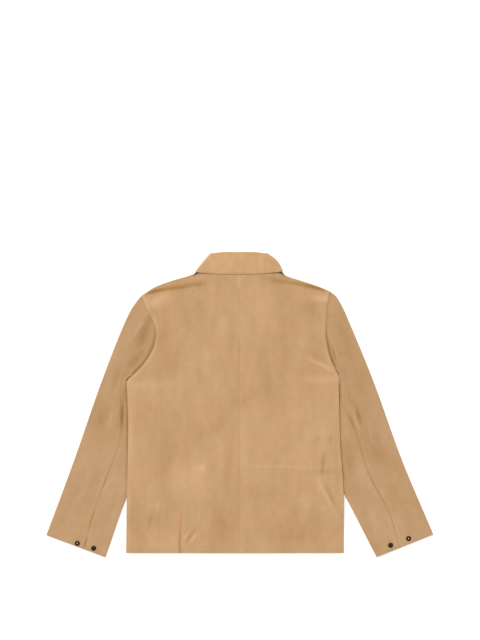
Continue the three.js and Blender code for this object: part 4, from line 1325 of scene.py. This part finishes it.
def pressed_snap(name, steps):
    """A round plate whose top face is inset and moved, step by step."""
    bpy.ops.mesh.primitive_cylinder_add(
        vertices=SNAP_SIDES, radius=SNAP_RADIUS * MM, depth=PLATE_THICK * MM,
        location=(0, 0, PLATE_THICK / 2 * MM),
    )
    snap = bpy.context.object
    snap.name = name
    bpy.ops.object.transform_apply(location=True, rotation=True, scale=True)
    bpy.ops.object.mode_set(mode="EDIT")
    bpy.ops.mesh.select_mode(type="FACE")
    bpy.ops.mesh.select_all(action="DESELECT")
    bpy.ops.object.mode_set(mode="OBJECT")
    highest = max(snap.data.polygons, key=lambda face: (round(face.center.z, 6), -face.center.xy.length))
    highest.select = True
    bpy.ops.object.mode_set(mode="EDIT")
    for inset, climb in steps:
        bpy.ops.mesh.inset(thickness=inset * MM, depth=climb * MM)
    bpy.ops.mesh.select_all(action="DESELECT")
    bpy.ops.object.mode_set(mode="OBJECT")
    rim = snap.modifiers.new("rim", "BEVEL")
    rim.width = RIM_BEVEL * MM
    rim.segments = 2
    rim.limit_method = "ANGLE"
    rim.angle_limit = math.radians(30)
    bpy.ops.object.modifier_apply(modifier=rim.name)
    bpy.ops.object.shade_smooth_by_angle(angle=SMOOTH_ANGLE)
    snap.select_set(False)
    return snap


def set_snap(snap, node, place, turned_over=0):
    """Moves a snap's mesh to its place, in the stead of its solid."""
    snap.location = place
    snap.rotation_euler = (math.pi * turned_over, 0, 0)
    snap.select_set(True)
    bpy.context.view_layer.objects.active = snap
    bpy.ops.object.transform_apply(location=True, rotation=True, scale=True)
    snap.select_set(False)
    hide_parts(node)
    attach(snap, "root")


def antique_brass():
    """Darkened brass: almost black in the low places, brown and brighter where it is rubbed."""
    material, tree, shader, place = new_material("antique_brass")
    stain = noise(tree, place, 420.0, 4.0, 0.65)
    wear_and_painted_light = add_node(tree, "ShaderNodeNewGeometry").outputs["Pointiness"]
    edge = ranged(tree, wear_and_painted_light, From_Min=0.5, From_Max=0.62)
    share = combine(tree, "MULTIPLY_ADD", stain, 0.3, edge)
    share = combine(tree, "MULTIPLY", share, 0.9, clamp=True)
    set_inputs(
        tree, shader, Base_Color=mixed(tree, share, (0.018, 0.012, 0.008, 1), (0.12, 0.075, 0.045, 1)),
        Metallic=0.75, Roughness=ranged(tree, stain, To_Min=0.3, To_Max=0.55),
    )
    return material


def polished_middle():
    """The ring's stud, worn bright."""
    material, tree, shader, place = new_material("polished_middle")
    worn = noise(tree, place, 700.0, 3.0, 0.6)
    set_inputs(
        tree, shader, Base_Color=mixed(tree, worn, (0.5, 0.4, 0.32, 1), (0.74, 0.62, 0.52, 1)),
        Metallic=0.5, Roughness=ranged(tree, worn, To_Min=0.25, To_Max=0.45),
    )
    return material


ANTIQUE_BRASS = antique_brass()
POLISHED_MIDDLE = polished_middle()
for side_name, half in HALVES.items():
    for kind, steps in (("cap", CAP_STEPS), ("ring", RING_STEPS)):
        snap = pressed_snap(f"snap_{kind}_{side_name}", steps)
        snap.data.materials.append(ANTIQUE_BRASS)
        snap.data.materials.append(POLISHED_MIDDLE)
        if kind == "ring":
            for face in snap.data.polygons:
                if face.center.xy.length < POLISHED_RADIUS * MM and face.normal.z > 0.2:
                    face.material_index = 1
        node = f"cuff_{kind}_{side_name}"
        out, up = half[kind]
        plan = np.array([[half["sign"] * out, up]], float)
        seat = sleeve_height(half, *plan.T)[0] + WALL / 2
        height = max(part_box(node)[0].z, (seat + SNAP_SEAT_GAP) * MM)
        set_snap(snap, node, (*plan[0] * MM, height))

for i in range(1, FRONT_SNAPS + 1):
    low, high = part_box(f"front_snap_{i}")
    snap = pressed_snap(f"snap_cap_front_{i}", CAP_STEPS)
    snap.data.materials.append(ANTIQUE_BRASS)
    place = ((low.x + high.x) / 2, (low.y + high.y) / 2, high.z)
    set_snap(snap, f"front_snap_{i}", place, turned_over=1)
